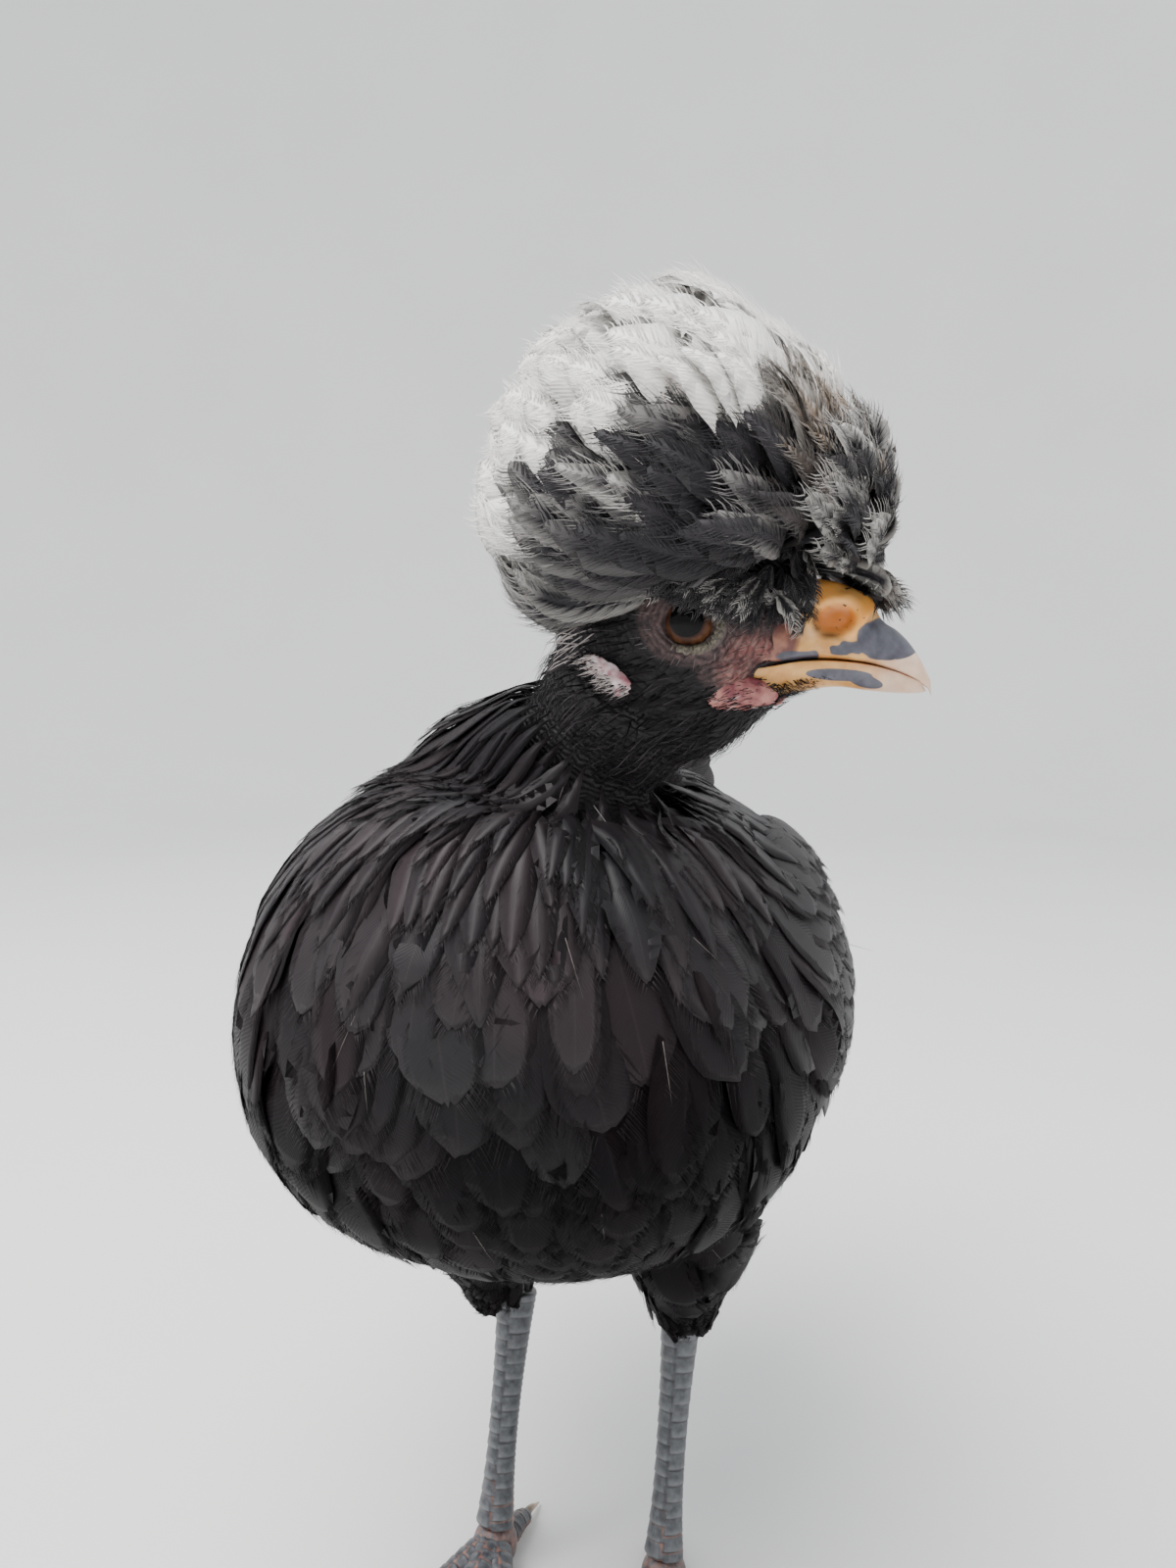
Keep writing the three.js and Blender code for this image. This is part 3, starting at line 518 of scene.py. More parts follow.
def add_barbs(coat, paths, outs, widths, outline, places, spots, values, form, rng):
    """Free barbs on both sides of each path, from a share of the half width to past the vane's edge."""
    lean, reach, thick, start, sag, fine = form.values()
    count, each = len(paths), len(places)
    tangents, sides, outs = frames(paths, outs)
    t = np.clip(places[None] + rng.normal(0, 0.012, (count, each)), 0.02, 0.99)
    middle, way, side, out = (sample(array, t).reshape(-1, 3) for array in (paths, tangents, sides, outs))
    half = (widths[:, None] / 2 * width_share(outline, t)).ravel()
    late = t.ravel()
    for hand in (-1, 1):
        vary = rng.uniform(0.75, 1.2, count * each)
        turn = rng.normal(0, 0.12, count * each)
        lift = rng.normal(0, 0.08, count * each)
        heading = unit(side * hand + way * (lean + turn)[:, None] + out * lift[:, None])
        length = half * reach * vary + 1.2 * ramp(late, 0.75, 1)
        root = middle + side * (hand * half * start)[:, None]
        end = unit(heading + 0.35 * way)
        across_uv = 0.5 + hand * np.array([start, start, start, 0.6, 0.6, 0.6, 1.0]) / 2
        uv = np.stack(np.broadcast_arrays(across_uv[None], late[:, None]), -1)
        bake = np.repeat(spots, each, 0)[:, None] + np.clip(uv, 0, 1) * BAKE_PATCH
        repeated = {key: np.repeat(data, each) for key, data in values.items()}
        if fine:
            root = root - out * (sag * half)[:, None]
            add_thorns(coat, root, heading, out, length, thick, uv, bake, repeated)
        else:
            add_spikes(coat, root, heading, end, out, length, thick, sag, uv, bake, repeated)


def lots(chosen, most):
    """Splits the chosen feathers into groups of at most so many, so that no piece gets too heavy."""
    picked = np.flatnonzero(chosen)
    count = max(1, math.ceil(len(picked) / most))
    return np.array_split(picked, count)


taken_cells = set()


def bake_places(roots, centre, band):
    """A free cell for each feather, near its root's place when the body is unwrapped round its middle."""
    way = unit(roots - centre)
    turn = np.arctan2(way[:, 0], -way[:, 1]) / (2 * np.pi) + 0.5
    rise = np.arcsin(np.clip(way[:, 2], -1, 1)) / np.pi + 0.5
    across = int(1 / BAKE_CELL)
    low, high = (int(edge * across) for edge in band)
    spots = []
    for u, v in zip(turn * (across - 1), low + rise * (high - low - 1)):
        u, v, step = int(u), int(v), 0
        while (u, v) in taken_cells:
            step += 1
            u = (u + (1 if step % 7 else 0)) % across
            v = v if step % 7 else (v + 1 if v + 1 < high else low)
        taken_cells.add((u, v))
        spots.append((u * BAKE_CELL, v * BAKE_CELL))
    return np.array(spots)


# Flesh


def read(items, key, size, kind=float):
    """One property of all of a mesh's points or faces, as rows of so many numbers."""
    numbers = np.empty(len(items) * size, kind)
    items.foreach_get(key, numbers)
    return numbers.reshape(-1, size)


def grown_copy(node, grow):
    """A node's points and faces in the bird's frame, moved out along its normals."""
    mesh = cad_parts[node].data
    matrix = np.array(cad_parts[node].matrix_world)
    points = read(mesh.vertices, "co", 3) @ matrix[:3, :3].T + matrix[:3, 3]
    normals = read(mesh.vertices, "normal", 3) @ matrix[:3, :3].T
    mesh.calc_loop_triangles()
    return points / MM - SHIFT + normals * grow, [read(mesh.loop_triangles, "vertices", 3, np.int32)]


def join(parts):
    """The points and face groups of several parts as one."""
    starts = np.cumsum([0] + [len(points) for points, _ in parts])
    faces = [group + start for (_, groups), start in zip(parts, starts) for group in groups]
    return np.vstack([points for points, _ in parts]), faces


def smoothed(made, repeats):
    smooth = made.modifiers.new("smooth", "SMOOTH")
    smooth.factor = 0.5
    smooth.iterations = repeats
    return made.evaluated_get(bpy.context.evaluated_depsgraph_get())


def wing_reach(y, z):
    fore = (y - WING_CENTRE[0]) / WING_CURVE[0]
    rise = (z - WING_CENTRE[1]) / WING_CURVE[1]
    return WING_REACH * np.sqrt(np.maximum(0.1, 1 - fore**2 - rise**2))


def ellipsoid(place, size, rows=24, sides=36):
    polar, turn = np.linspace(0, np.pi, rows + 2)[1:-1], turns(sides)
    x, y = np.outer(np.sin(polar), np.cos(turn)), np.outer(np.sin(polar), np.sin(turn))
    rings = vectors(x, y, -np.cos(polar)[:, None])
    points, faces = loft(rings * size, (0, 0, -size[2]), (0, 0, size[2]))
    return points + place, faces


def wing_pad(side):
    """The flesh of the shoulder under a folded wing."""
    points, faces = ellipsoid(np.zeros(3), WING_PAD["size"])
    cos, sin = cos_sin(WING_PAD["tilt"])
    points = points @ np.array([[1, 0, 0], [0, cos, sin], [0, -sin, cos]]) + WING_PAD["place"]
    points[:, 0] = side * (points[:, 0] - 2.0 + wing_reach(points[:, 1], points[:, 2]))
    return points, faces


def flesh_points():
    """The skin's points and faces: one closed surface through head, neck, torso, thighs and shoulders."""
    points, faces = join([grown_copy(node, SKIN_GROW) for node in FLESH_NODES] + [wing_pad(1), wing_pad(-1)])
    plain = bpy.data.materials.new("joined")
    made = make_object("joined", points, faces, plain)
    remesh = made.modifiers.new("remesh", "REMESH")
    remesh.mode = "VOXEL"
    remesh.voxel_size = SKIN_VOXEL * MM
    shaped = smoothed(made, 5).to_mesh()
    points, normals = (read(shaped.vertices, key, 3) for key in ("co", "normal"))
    quads = read(shaped.polygons, "vertices", 4, np.int32)
    bpy.data.objects.remove(made)
    bpy.data.materials.remove(plain)
    return points / MM - SHIFT, normals, quads


def region_shares(points):
    """How far each point belongs to the head, the neck and the thighs. The rest is torso."""
    local = bird_to_head(points)
    head = 1 - ramp(reach_of(local * [0.85, 1, 0.8] + [2, 0, 1.5]), 19, 25)
    neck = ramp(points[:, 2], 178, 192) * (1 - head)
    near = np.abs(np.abs(points[:, 0] - LEG_ASIDE) - 24)
    thigh = (1 - ramp(points[:, 2], 76, 92)) * (1 - ramp(near, 15, 24))
    return head, neck, thigh


def coat_depth(points):
    head, neck, thigh = region_shares(points)
    depth = mix(COAT_DEPTH["torso"], COAT_DEPTH["neck"], neck)
    depth = mix(depth, COAT_DEPTH["head"], head)
    return mix(depth, COAT_DEPTH["thigh"], thigh)


def bareness(points):
    """1 on the naked skin round the eye, along the lore and at the gape, 0 where feathers are thick."""
    local = bird_to_head(points)
    eye = 1 - ramp(np.hypot(local[:, 0] * 0.9, local[:, 2]), 5.6, 8.6)
    lore = np.zeros(len(points))
    for x, z in LORE_PATCHES:
        near = np.hypot(local[:, 0] - x, local[:, 2] - z)
        lore = np.maximum(lore, 1 - ramp(near, 0.6 * LORE_REACH, 1.5 * LORE_REACH))
    on_side = ramp(np.abs(local[:, 1]), 4, 7) * (reach_of(local) < 26)
    return np.maximum(eye, lore) * on_side


def clear_of_crest_and_bill(points):
    """Where neither the crown under the crest nor the bill is."""
    local = bird_to_head(points)
    crown = ramp(local[:, 2] + 0.12 * local[:, 0], 9, 13) * (reach_of(local) < 34)
    bill = (local[:, 0] > 17) | ((local[:, 0] > 11) & (np.abs(local[:, 1]) < 6.5) & (local[:, 2] > -9))
    return (crown < 0.5) & ~(bill & (reach_of(local) < 45))


def make_skin(material):
    """The skin, sunk under the coat by the coat's depth. Returns its points and faces."""
    points, normals, quads = flesh_points()
    depth = coat_depth(points) * (1 - bareness(points))
    points = points - normals * depth[:, None]
    local = bird_to_head(points)
    redness = 1 - ramp(np.hypot(local[:, 0] - 11.5, (local[:, 2] + 5) * 0.9), 2.5, 8)
    off_eye = np.hypot(local[:, 0] * 0.9, local[:, 2])
    values = {"bare": bareness(points), "flush": redness, "off_eye": off_eye}
    made = make_object("skin", points, [quads], material, values)
    shaped = bpy.data.meshes.new_from_object(smoothed(made, 4))
    made.modifiers.clear()
    made.data = shaped
    settle(made, "face_skin", *FLESH_NODES)
    return read(shaped.vertices, "co", 3) / MM - SHIFT, quads


# The lie of the coat


def lie_of_coat(points):
    """The way feathers point at each place, not yet laid along the skin."""
    x, y, z = points.T
    neck_x, neck_y = (np.interp(z, NECK_LINE[:, 0], NECK_LINE[:, k]) for k in (1, 2))
    head, neck, thigh = region_shares(points)
    side = np.sign(x)
    back = vectors(0.0, 1.0, -0.42 * ramp(np.abs(x), 10, 50))
    chest = vectors(0.006 * x, 0.15, -1.0)
    flow = mix(back, chest, 1 - ramp(y + 0.25 * np.abs(x), -52, -8))
    from_neck = vectors(x - neck_x, y - neck_y, 0.0)
    cape = unit(from_neck) * 0.75 + np.array([0, 0.1, -0.65])
    near_neck = ramp(z, 158, 180) * (1 - ramp(reach_of(from_neck), 34, 58))
    flow = mix(flow, cape, near_neck)
    down_neck = np.array([-0.75, 0.35, -1.0])
    throat = np.array([-0.35, 0.0, -1.0])
    local = bird_to_head(points)
    flow = mix(flow, mix(down_neck[None], throat[None], ramp(local[:, 0], -8, 8)), neck)
    cheek = head_ways(np.array([-1.0, 0.0, -0.55]))
    chin = head_ways(np.array([-0.8, 0.0, -0.8]))
    flow = mix(flow, mix(cheek[None], chin[None], 1 - ramp(local[:, 2], -14, -6)), head)
    return mix(flow, vectors(0.1 * side, 0.35, -1.0), thigh)


def coat_sizes(points):
    """Length, width and spacing of the feathers at each place."""
    y, z = points[:, 1], points[:, 2]
    head, neck, thigh = region_shares(points)
    cape = ramp(z, 158, 178) * (1 - ramp(y, 0, 30))
    low, pad = 1 - ramp(z, 62, 92), on_wing_pad(points)
    sizes = []
    for k, breast_end in enumerate((-30, -40, -40)):
        size = mix(FEATHERS["breast"][k], FEATHERS["back"][k], ramp(y, breast_end, 20))
        for region, share in (("cape", cape), ("neck", neck), ("head", head)):
            size = mix(size, FEATHERS[region][k], share)
        size = mix(size, mix(FEATHERS["thigh"][k], FEATHERS["hock"][k], low), thigh)
        sizes.append(mix(size, FEATHERS["shoulder"][k], pad))
    return sizes


def on_wing_pad(points):
    y, z = points[:, 1], points[:, 2] - WING_PAD["place"][2]
    inside = (y / 34) ** 2 + ((z + 0.14 * y) / 25) ** 2
    return (1 - ramp(inside, 0.8, 1.05)) * ramp(np.abs(points[:, 0]), 40, 46)


def scatter(points, quads, rng, spacing_scale=1.0, ball=None):
    """Roots spread over the skin, or the part of it in a ball, as far apart as the feathers there ask for."""
    tris = np.vstack([quads[:, [0, 1, 2]], quads[:, [0, 2, 3]]])
    if ball is not None:
        tris = tris[reach_of(points[tris[:, 0]] - ball[0]) < ball[1]]
    a, b, c = (points[tris[:, k]] for k in range(3))
    area = reach_of(np.cross(b - a, c - a)) / 2
    middle = (a + b + c) / 3
    spacing = coat_sizes(middle)[2] * spacing_scale
    weight = area / spacing**2
    count = int(weight.sum() * 2.6)
    chosen = rng.choice(len(tris), count, p=weight / weight.sum())
    r1, r2 = rng.random((2, count, 1))
    flip = (r1 + r2) > 1
    r1, r2 = np.where(flip, 1 - r1, r1), np.where(flip, 1 - r2, r2)
    spots = a[chosen] + (b - a)[chosen] * r1 + (c - a)[chosen] * r2
    grid, kept = {}, []
    for i, (spot, gap) in enumerate(zip(spots, spacing[chosen])):
        x, y, z = (spot // GRID_CELL).astype(int)
        near = [j for dx, dy, dz in NEIGHBOURS for j in grid.get((x + dx, y + dy, z + dz), ())]
        if near and (np.sum((spots[near] - spot) ** 2, axis=1) < gap**2).any():
            continue
        grid.setdefault((x, y, z), []).append(i)
        kept.append(i)
    return spots[kept]


def lay_paths(tree, roots, ways, lengths, heights, steps=7, start=0.8, last_heights=None):
    """Walks each feather over the skin, rising steeply from its root and then slowly to its full height."""
    count = len(roots)
    last_heights = heights if last_heights is None else last_heights
    paths = np.zeros((count, steps, 3))
    outs = np.zeros((count, steps, 3))
    for i in range(count):
        spot = Vector(roots[i])
        way = Vector(ways[i])
        stride = lengths[i] / (steps - 1)
        last = None
        for k in range(steps):
            place, normal, _, _ = tree.find_nearest(spot)
            if last is not None:
                normal = (normal + 1.5 * last).normalized()
            last = normal
            share = k / (steps - 1)
            height = heights[i] * (1 - share) + last_heights[i] * share
            rise = height * (start + (1 - start) * share) * (1 - math.exp(-share / 0.09))
            paths[i, k] = place + normal * rise
            outs[i, k] = normal
            way = (way - normal * way.dot(normal)).normalized()
            spot = place + way * stride
    return paths, outs


def shoulder_share(points):
    """1 where the coat runs over the front of the folded wing."""
    front = (1 - ramp(points[:, 1], -6, 6)) * ramp(points[:, 1], -58, -40)
    return front * ramp(np.abs(points[:, 0]), 30, 40) * ramp(points[:, 2], 104, 120)


def over_wing(points):
    """1 where feathers of the back run over the folded wing's upper edge."""
    x, y, z = np.abs(points[:, 0]), points[:, 1], points[:, 2]
    return ramp(x, 22, 32) * ramp(z, 152, 162) * ramp(y, -46, -28) * (1 - ramp(y, 24, 44))


def room_under_wing(points):
    """How much higher the coat may stand where a folded wing lies over it, in millimetres."""
    x, y, z = np.abs(points[:, 0]), points[:, 1], points[:, 2]
    covered = ramp(y, 12, 34) * (1 - ramp(y, 84, 94)) * ramp(z, 98, 112)
    covered = covered * (1 - ramp(z, 160, 170)) * ramp(x, 10, 18)
    room = wing_reach(y, z) - x - coat_depth(points) - 3.2
    return np.clip(room, 0, 13) * covered


def belly_share(points):
    """1 on the lower breast and belly, where the plumage is dull and its colour is painted darker as shade.
    """
    return 1 - ramp(points[:, 2] - 0.15 * np.abs(points[:, 0]) - 0.35 * np.maximum(points[:, 1], 0), 98, 158)


def plain_values(rng, count):
    """What a feather's look depends on: a shade of its own, and no white, fringe, brown, or dullness with
    painted shade.
    """
    none = np.zeros(count)
    return {"shade": rng.random(count), "white": none, "fringe": none, "brown": none, "dull": none}


def make_body_coat(tree, skin_points, quads, looks):
    rng = np.random.default_rng(SEED)
    roots = scatter(skin_points, quads, rng)
    head = region_shares(roots)[0]
    under_tiers = (on_wing_pad(roots) > 0.5) & (roots[:, 1] > 14)
    roots = roots[(head < 0.5) & clear_of_crest_and_bill(roots) & ~under_tiers]
    count = len(roots)
    lengths, widths, _ = coat_sizes(roots)
    neck = region_shares(roots)[1]
    lengths = lengths * rng.uniform(0.76, 1.18, count) * (1 - 0.25 * over_wing(roots))
    widths = widths * rng.uniform(0.78, 1.12, count)
    ways = unit(lie_of_coat(roots)) + rng.normal(0, 0.11, (count, 3))
    fullness = rng.uniform(0.95, 1.03, count) * (1 + 0.24 * shoulder_share(roots))
    more = 0.3 + room_under_wing(roots) * rng.uniform(0.55, 1.0, count) + 1.4 * over_wing(roots)
    heights = coat_depth(roots) * fullness + more
    last_heights = coat_depth(roots + unit(ways) * lengths[:, None]) * fullness + more + 1.3 * neck
    paths, outs = lay_paths(tree, roots, ways, lengths, heights, 8, 0.79, last_heights)
    smooth = np.sum(outs[:, 1] * outs[:, -1], 1) > 0.35
    whole = (roots, lengths, widths, neck, paths, outs)
    roots, lengths, widths, neck, paths, outs = (data[smooth] for data in whole)
    count = len(roots)
    spots = bake_places(roots, *BODY_BAKE)
    values = plain_values(rng, count)
    slim = neck + ramp(roots[:, 2], 161, 177) * (roots[:, 1] < 20) > 0.5
    # Painted shade: the colour darkens towards the lower breast and belly, half as much on the neck, less on
    # the wing pad.
    dull = np.maximum(belly_share(paths[:, -1]), 0.5 * neck) + rng.normal(0, 0.06, count)
    dull = np.clip(dull * (1 - 0.6 * on_wing_pad(roots)), 0, 1)
    values["dull"] = dull
    bright, low = ~slim & (dull < 0.36), ~slim & (dull >= 0.7)
    front = roots[:, 1] < -18
    high = slim & (neck > rng.uniform(0.15, 0.6, count))
    chosen = {
        "coat_neck": high,
        "coat_hackle": slim & ~high,
        "coat_breast": bright & front,
        "coat_flank": bright & ~front,
        "coat_side": ~slim & ~bright & ~low,
        "coat_belly": low & (roots[:, 1] < 5),
        "coat_vent": low & (roots[:, 1] >= 5),
    }
    for name, (outline, rows, columns, barbs, most, look) in COAT_GROUPS.items():
        for number, lot in enumerate(lots(chosen[name], most)):
            coat = Coat()
            picked = {key: data[lot] for key, data in values.items()}
            common = (coat, paths[lot], outs[lot], widths[lot], outline)
            camber = 0.035 if columns > 3 else 0.012
            add_vanes(*common, rows, columns, spots[lot], picked, camber, 0.1, 1.1, rng)
            places = 1 - np.linspace(0.68, 0.02, barbs) ** 1.3
            add_barbs(*common, places, spots[lot], picked, COAT_BARBS, rng)
            coat.make(f"{name}_{number + 1}", looks[look])


def laid_flat(ways, normals):
    return unit(ways - normals * np.sum(ways * normals, 1)[:, None])


def normals_at(tree, roots):
    return np.array([tree.find_nearest(Vector(root))[1] for root in roots])


def add_hairs(coat, roots, ways, normals, lengths, lift, thick, values):
    """Short curved hairs that leave the skin at a slant."""
    count = len(roots)
    flat = laid_flat(ways, normals)
    heading = unit(flat + normals * lift[:, None])
    ends = unit(flat + 0.35 * lift[:, None] * normals)
    spots = bake_places(roots, *BODY_BAKE)
    t = np.array([0, 0, 0, 0.5, 0.5, 0.5, 1.0])
    uv = np.stack(np.broadcast_arrays(np.full(7, 0.5)[None], np.broadcast_to(t, (count, 7))), -1)
    bake = spots[:, None] + uv * BAKE_PATCH
    add_spikes(coat, roots, heading, ends, normals, lengths, thick, 0.05, uv, bake, values)


def make_face_hairs(skin_points, quads, tree, material):
    """Short hair-like feathers on cheeks, throat and lores, sparse and fine round the eye."""
    rng = np.random.default_rng(SEED + 3)
    coat = Coat()
    for pass_name, spacing in (("coat", 1.0), ("fine", 0.82)):
        roots = scatter(skin_points, quads, rng, spacing, (HEAD_PLACE, 42.0))
        head, local, bare = region_shares(roots)[0], bird_to_head(roots), bareness(roots)
        off_eye = np.hypot(local[:, 0], local[:, 2] * 1.1)
        keep = (head > 0.4) & clear_of_crest_and_bill(roots) & (off_eye > 5.9)
        if pass_name == "coat":
            keep &= rng.random(len(roots)) > 1.25 * bare
        else:
            keep &= (bare > 0.25) & (off_eye < 22) & (rng.random(len(roots)) < 0.8)
        roots, local, bare = roots[keep], local[keep], bare[keep]
        count = len(roots)
        normals = normals_at(tree, roots)
        spoke = head_ways(local * [1, 0, 1])
        ways = mix(unit(lie_of_coat(roots)), unit(spoke), 0.75 * (1 - ramp(off_eye[keep], 6, 9.5)))
        ways = ways + rng.normal(0, 0.18, (count, 3))
        back = np.clip(ramp(-local[:, 0], -4, 14) + ramp(-local[:, 2], 6, 18), 0, 1)
        lengths = mix(mix(2.8, 6.0, back), 1.6, bare) * rng.uniform(0.75, 1.25, count)
        values = plain_values(rng, count)
        thick = 0.24
        if pass_name == "fine":
            lengths, thick = rng.uniform(1.1, 2.6, count), 0.085
            values["white"] = (rng.random(count) < 0.4) * rng.uniform(0.1, 0.5, count)
        tuft = reach_of(local - EAR_TUFT * [1, 0, 1] - [0, 1, 0] * local) < 3.4
        values["white"] = np.where(tuft & (rng.random(count) < 0.7), 0.9, values["white"])
        lengths = np.where(tuft, lengths + 2.0, lengths)
        add_hairs(coat, roots, ways, normals, lengths, rng.uniform(0.14, 0.42, count), thick, values)
    add_chin_hairs(coat, rng)
    add_lobe_hairs(coat, rng)
    coat.make("coat_face", material)


def add_chin_hairs(coat, rng):
    """Fuzz between the two sides of the lower bill."""
    count = CHIN_HAIRS
    x = rng.uniform(8, 24, count)
    place, _, bottom, half = np.array(BILL["lower"]).T
    low, wide = np.interp(x, place, bottom), np.interp(x, place, half)
    y = rng.uniform(-0.8, 0.8, count) * wide
    roots = vectors(x, y, low + 0.9 + 2.2 * (y / wide) ** 2)
    ways = vectors(0.55 - 0.5 * ramp(x, 18, 24), 0.25 * np.sign(y), -0.45)
    ways = ways + rng.normal(0, 0.2, (count, 3))
    normals = unit(vectors(0.0, 0.7 * y / wide, -1.0))
    lengths = rng.uniform(2.2, 4.2, count) * (1 - 0.75 * ramp(x, 13, 23))
    placed = (head_to_bird(roots), head_ways(ways), head_ways(normals))
    add_hairs(coat, *placed, lengths, rng.uniform(0.2, 0.6, count), 0.2, plain_values(rng, count))


def add_lobe_hairs(coat, rng):
    """Fine white and dark hairs over lobes and wattles, so that they sink into the cheek."""
    for form in (EARLOBE, WATTLE):
        count = form["hairs"]
        for side in (1, -1):
            turn = rng.uniform(0, 2 * np.pi, count)
            far = np.sqrt(rng.uniform(0.02, 1.4, count))
            x, z = form["size"][0] * far * np.cos(turn), form["size"][2] * far * np.sin(turn)
            cos, sin = cos_sin(form["tilt"])
            y = form["size"][1] * np.sqrt(np.maximum(0, 1 - far**2)) - 0.1
            place = vectors(x * cos - z * sin, y, x * sin + z * cos)
            roots = (place + form["place"]) * [1, side, 1]
            ways = rng.normal(0, 0.25, (count, 3)) + [-0.9, 0.0, -0.5]
            normals = np.tile([0.0, side, 0.0], (count, 1))
            values = plain_values(rng, count)
            values["white"] = ((far < 1.05) & (rng.random(count) < form["white"])) * 1.0
            lengths = np.where(far < 1, rng.uniform(1.2, 2.8, count), rng.uniform(2.0, 3.8, count))
            placed = (head_to_bird(roots), head_ways(ways), head_ways(normals))
            add_hairs(coat, *placed, lengths, rng.uniform(0.1, 0.35, count), 0.12, values)


def make_stray_shafts(skin_points, quads, tree, material):
    """A few pale hair-fine shafts that lie over the black coat."""
    rng = np.random.default_rng(SEED + 4)
    roots = scatter(skin_points, quads, rng, 3.4)
    roots = roots[(region_shares(roots)[0] < 0.3) & (rng.random(len(roots)) < 0.5)]
    count = len(roots)
    depth = coat_depth(roots)
    normals = normals_at(tree, roots)
    ways = unit(lie_of_coat(roots)) + rng.normal(0, 0.2, (count, 3))
    flat = laid_flat(ways, normals)
    starts = roots + normals * (depth + 0.25)[:, None]
    lengths = rng.uniform(5, 11, count)
    spots = bake_places(roots, *BODY_BAKE)
    uv = np.full((count, 7, 2), 0.5)
    bake = spots[:, None] + uv * BAKE_PATCH
    coat = Coat()
    ends = unit(flat + 0.04 * normals)
    add_spikes(coat, starts, ends, ends, normals, lengths, 0.09, 0.06, uv, bake, plain_values(rng, count))
    coat.make("coat_stray_shafts", material, "white_feather")


# The crest


CREST_AXIS, CREST_SOURCE = unit(CREST["axis"]), unit(CREST["source"])


def angle_between(ways, aim):
    return np.arccos(np.clip(ways @ aim, -1, 1))


def away_from(axis, ways):
    """Unit vectors square to an axis, on the side of it that each way points to."""
    return unit(ways - axis * (ways @ axis)[:, None])


def turned_towards(ways, aim, angle):
    """Unit vectors turned towards an aim by an angle each, and no further than to it."""
    apart = angle_between(ways, aim)
    aside = unit(aim - ways * (ways @ aim)[:, None])
    angle = np.minimum(angle, apart)[:, None]
    return ways * np.cos(angle) + aside * np.sin(angle)


def crest_tips(count, reach, rng):
    """Directions spread over a globe, as far as an angle from its axis."""
    order = np.arange(count) + 0.5
    angles = np.arccos(1 - (1 - math.cos(math.radians(reach))) * order / count)
    turn = order * math.pi * (3 - math.sqrt(5)) + rng.uniform(0, 6.3)
    ahead = unit(np.array([1.0, 0, 0]) - CREST_AXIS[0] * CREST_AXIS)
    away = np.cos(turn)[:, None] * ahead + np.sin(turn)[:, None] * np.cross(CREST_AXIS, ahead)
    ways = CREST_AXIS * np.cos(angles)[:, None] + away * np.sin(angles)[:, None]
    ways = unit(ways + rng.normal(0, 0.06, ways.shape))
    behind = ramp(-away_from(CREST_AXIS, ways)[:, 0], 0.75, 0.98)
    limit = between((CREST["side_reach"], math.radians(reach)), behind)
    return ways[angle_between(ways, CREST_AXIS) < limit]


def crest_paths(tips, radii, rng, steps=13):
    """Feather paths that rise from the skull, lean back from the source and end at the globe."""
    sweep = np.minimum(CREST["sweep"], 0.6 * angle_between(tips, CREST_SOURCE))
    sweep = sweep * rng.uniform(0.8, 1.15, len(tips))
    bends = turned_towards(tips, CREST_SOURCE, sweep)
    late = turned_towards(tips, CREST_SOURCE, 0.45 * sweep)
    seat = unit(0.75 * bends + np.array([0, 0, 0.8]))
    ahead = away_from(CREST_AXIS, tips)[:, 0]
    high = 1 - ramp(np.degrees(angle_between(tips, CREST_AXIS)), 80, 100)
    reach = (CREST["radius"] * radii * (1 - CREST["front_flat"] * ramp(ahead, 0.1, 0.8) * high))[:, None]
    p0 = CREST["skull_place"] + seat * CREST["skull_size"]
    p1 = CREST["centre"] + bends * reach * 0.66
    p2 = CREST["centre"] + late * reach * 1.12
    p3 = CREST["centre"] + tips * reach
    t = np.linspace(0, 1, steps)[:, None]
    a, b, c, d = (1 - t) ** 3, 3 * t * (1 - t) ** 2, 3 * t**2 * (1 - t), t**3
    return a * p0[:, None] + b * p1[:, None] + c * p2[:, None] + d * p3[:, None]


def crest_colours(tips, radii, rng):
    """How white each crest feather is, how white its fringe, and how brown its shaft."""
    count = len(tips)
    angle = np.degrees(angle_between(tips, CREST_AXIS))
    ahead = away_from(CREST_AXIS, tips)[:, 0]
    edge = WHITE_EDGE["side"] + WHITE_EDGE["front"] * ramp(ahead, 0.1, 0.9)
    edge = edge + WHITE_EDGE["back"] * ramp(-ahead, 0.1, 0.9)
    past = angle - edge + rng.normal(0, WHITE_EDGE["blur"], count) - 70 * np.maximum(0, 0.95 - radii)
    white = (past < 0).astype(float)
    near = np.clip(1 - past / 12, 0, 1) * rng.uniform(0.2, 0.9, count)
    hem = ramp(-ahead, 0.45, 0.9) * ramp(angle, 70, 84) * rng.uniform(0.45, 1, count)
    brow = ramp(ahead, 0.5, 0.9) * ramp(angle, 80, 96) * (rng.random(count) < 0.4)
    odd_ones = (rng.random(count) < 0.14) * rng.uniform(0.3, 0.9, count)
    fringe = np.clip(0.9 * near + 0.8 * hem + 0.8 * brow + odd_ones, 0, 1)
    brown = ramp(ahead, 0.35, 0.75) * np.clip(1.3 - np.abs(past - 10) / 20, 0, 1)
    return white, fringe, brown


def twisted(paths, outs, rng):
    """The sides of each feather, and the way it faces when it is turned a little about its shaft."""
    _, sides, outs = frames(paths, outs)
    twist = rng.normal(0, 0.3, len(paths))[:, None, None]
    return sides, outs * np.cos(twist) + sides * np.sin(twist)


def pale_rims(rng, count, share, faint):
    """How pale each feather's rim is: well marked on a share of them, faint on the others."""
    return np.where(rng.random(count) < share, rng.uniform(0.5, 1.0, count), rng.uniform(0, faint, count))


def crest_values(rng, count, share):
    """Black crest feathers, a share of them with a pale rim."""
    fringe, none = pale_rims(rng, count, share, 0.12), np.zeros(count)
    return {"shade": rng.random(count), "white": none, "fringe": fringe, "brown": none}


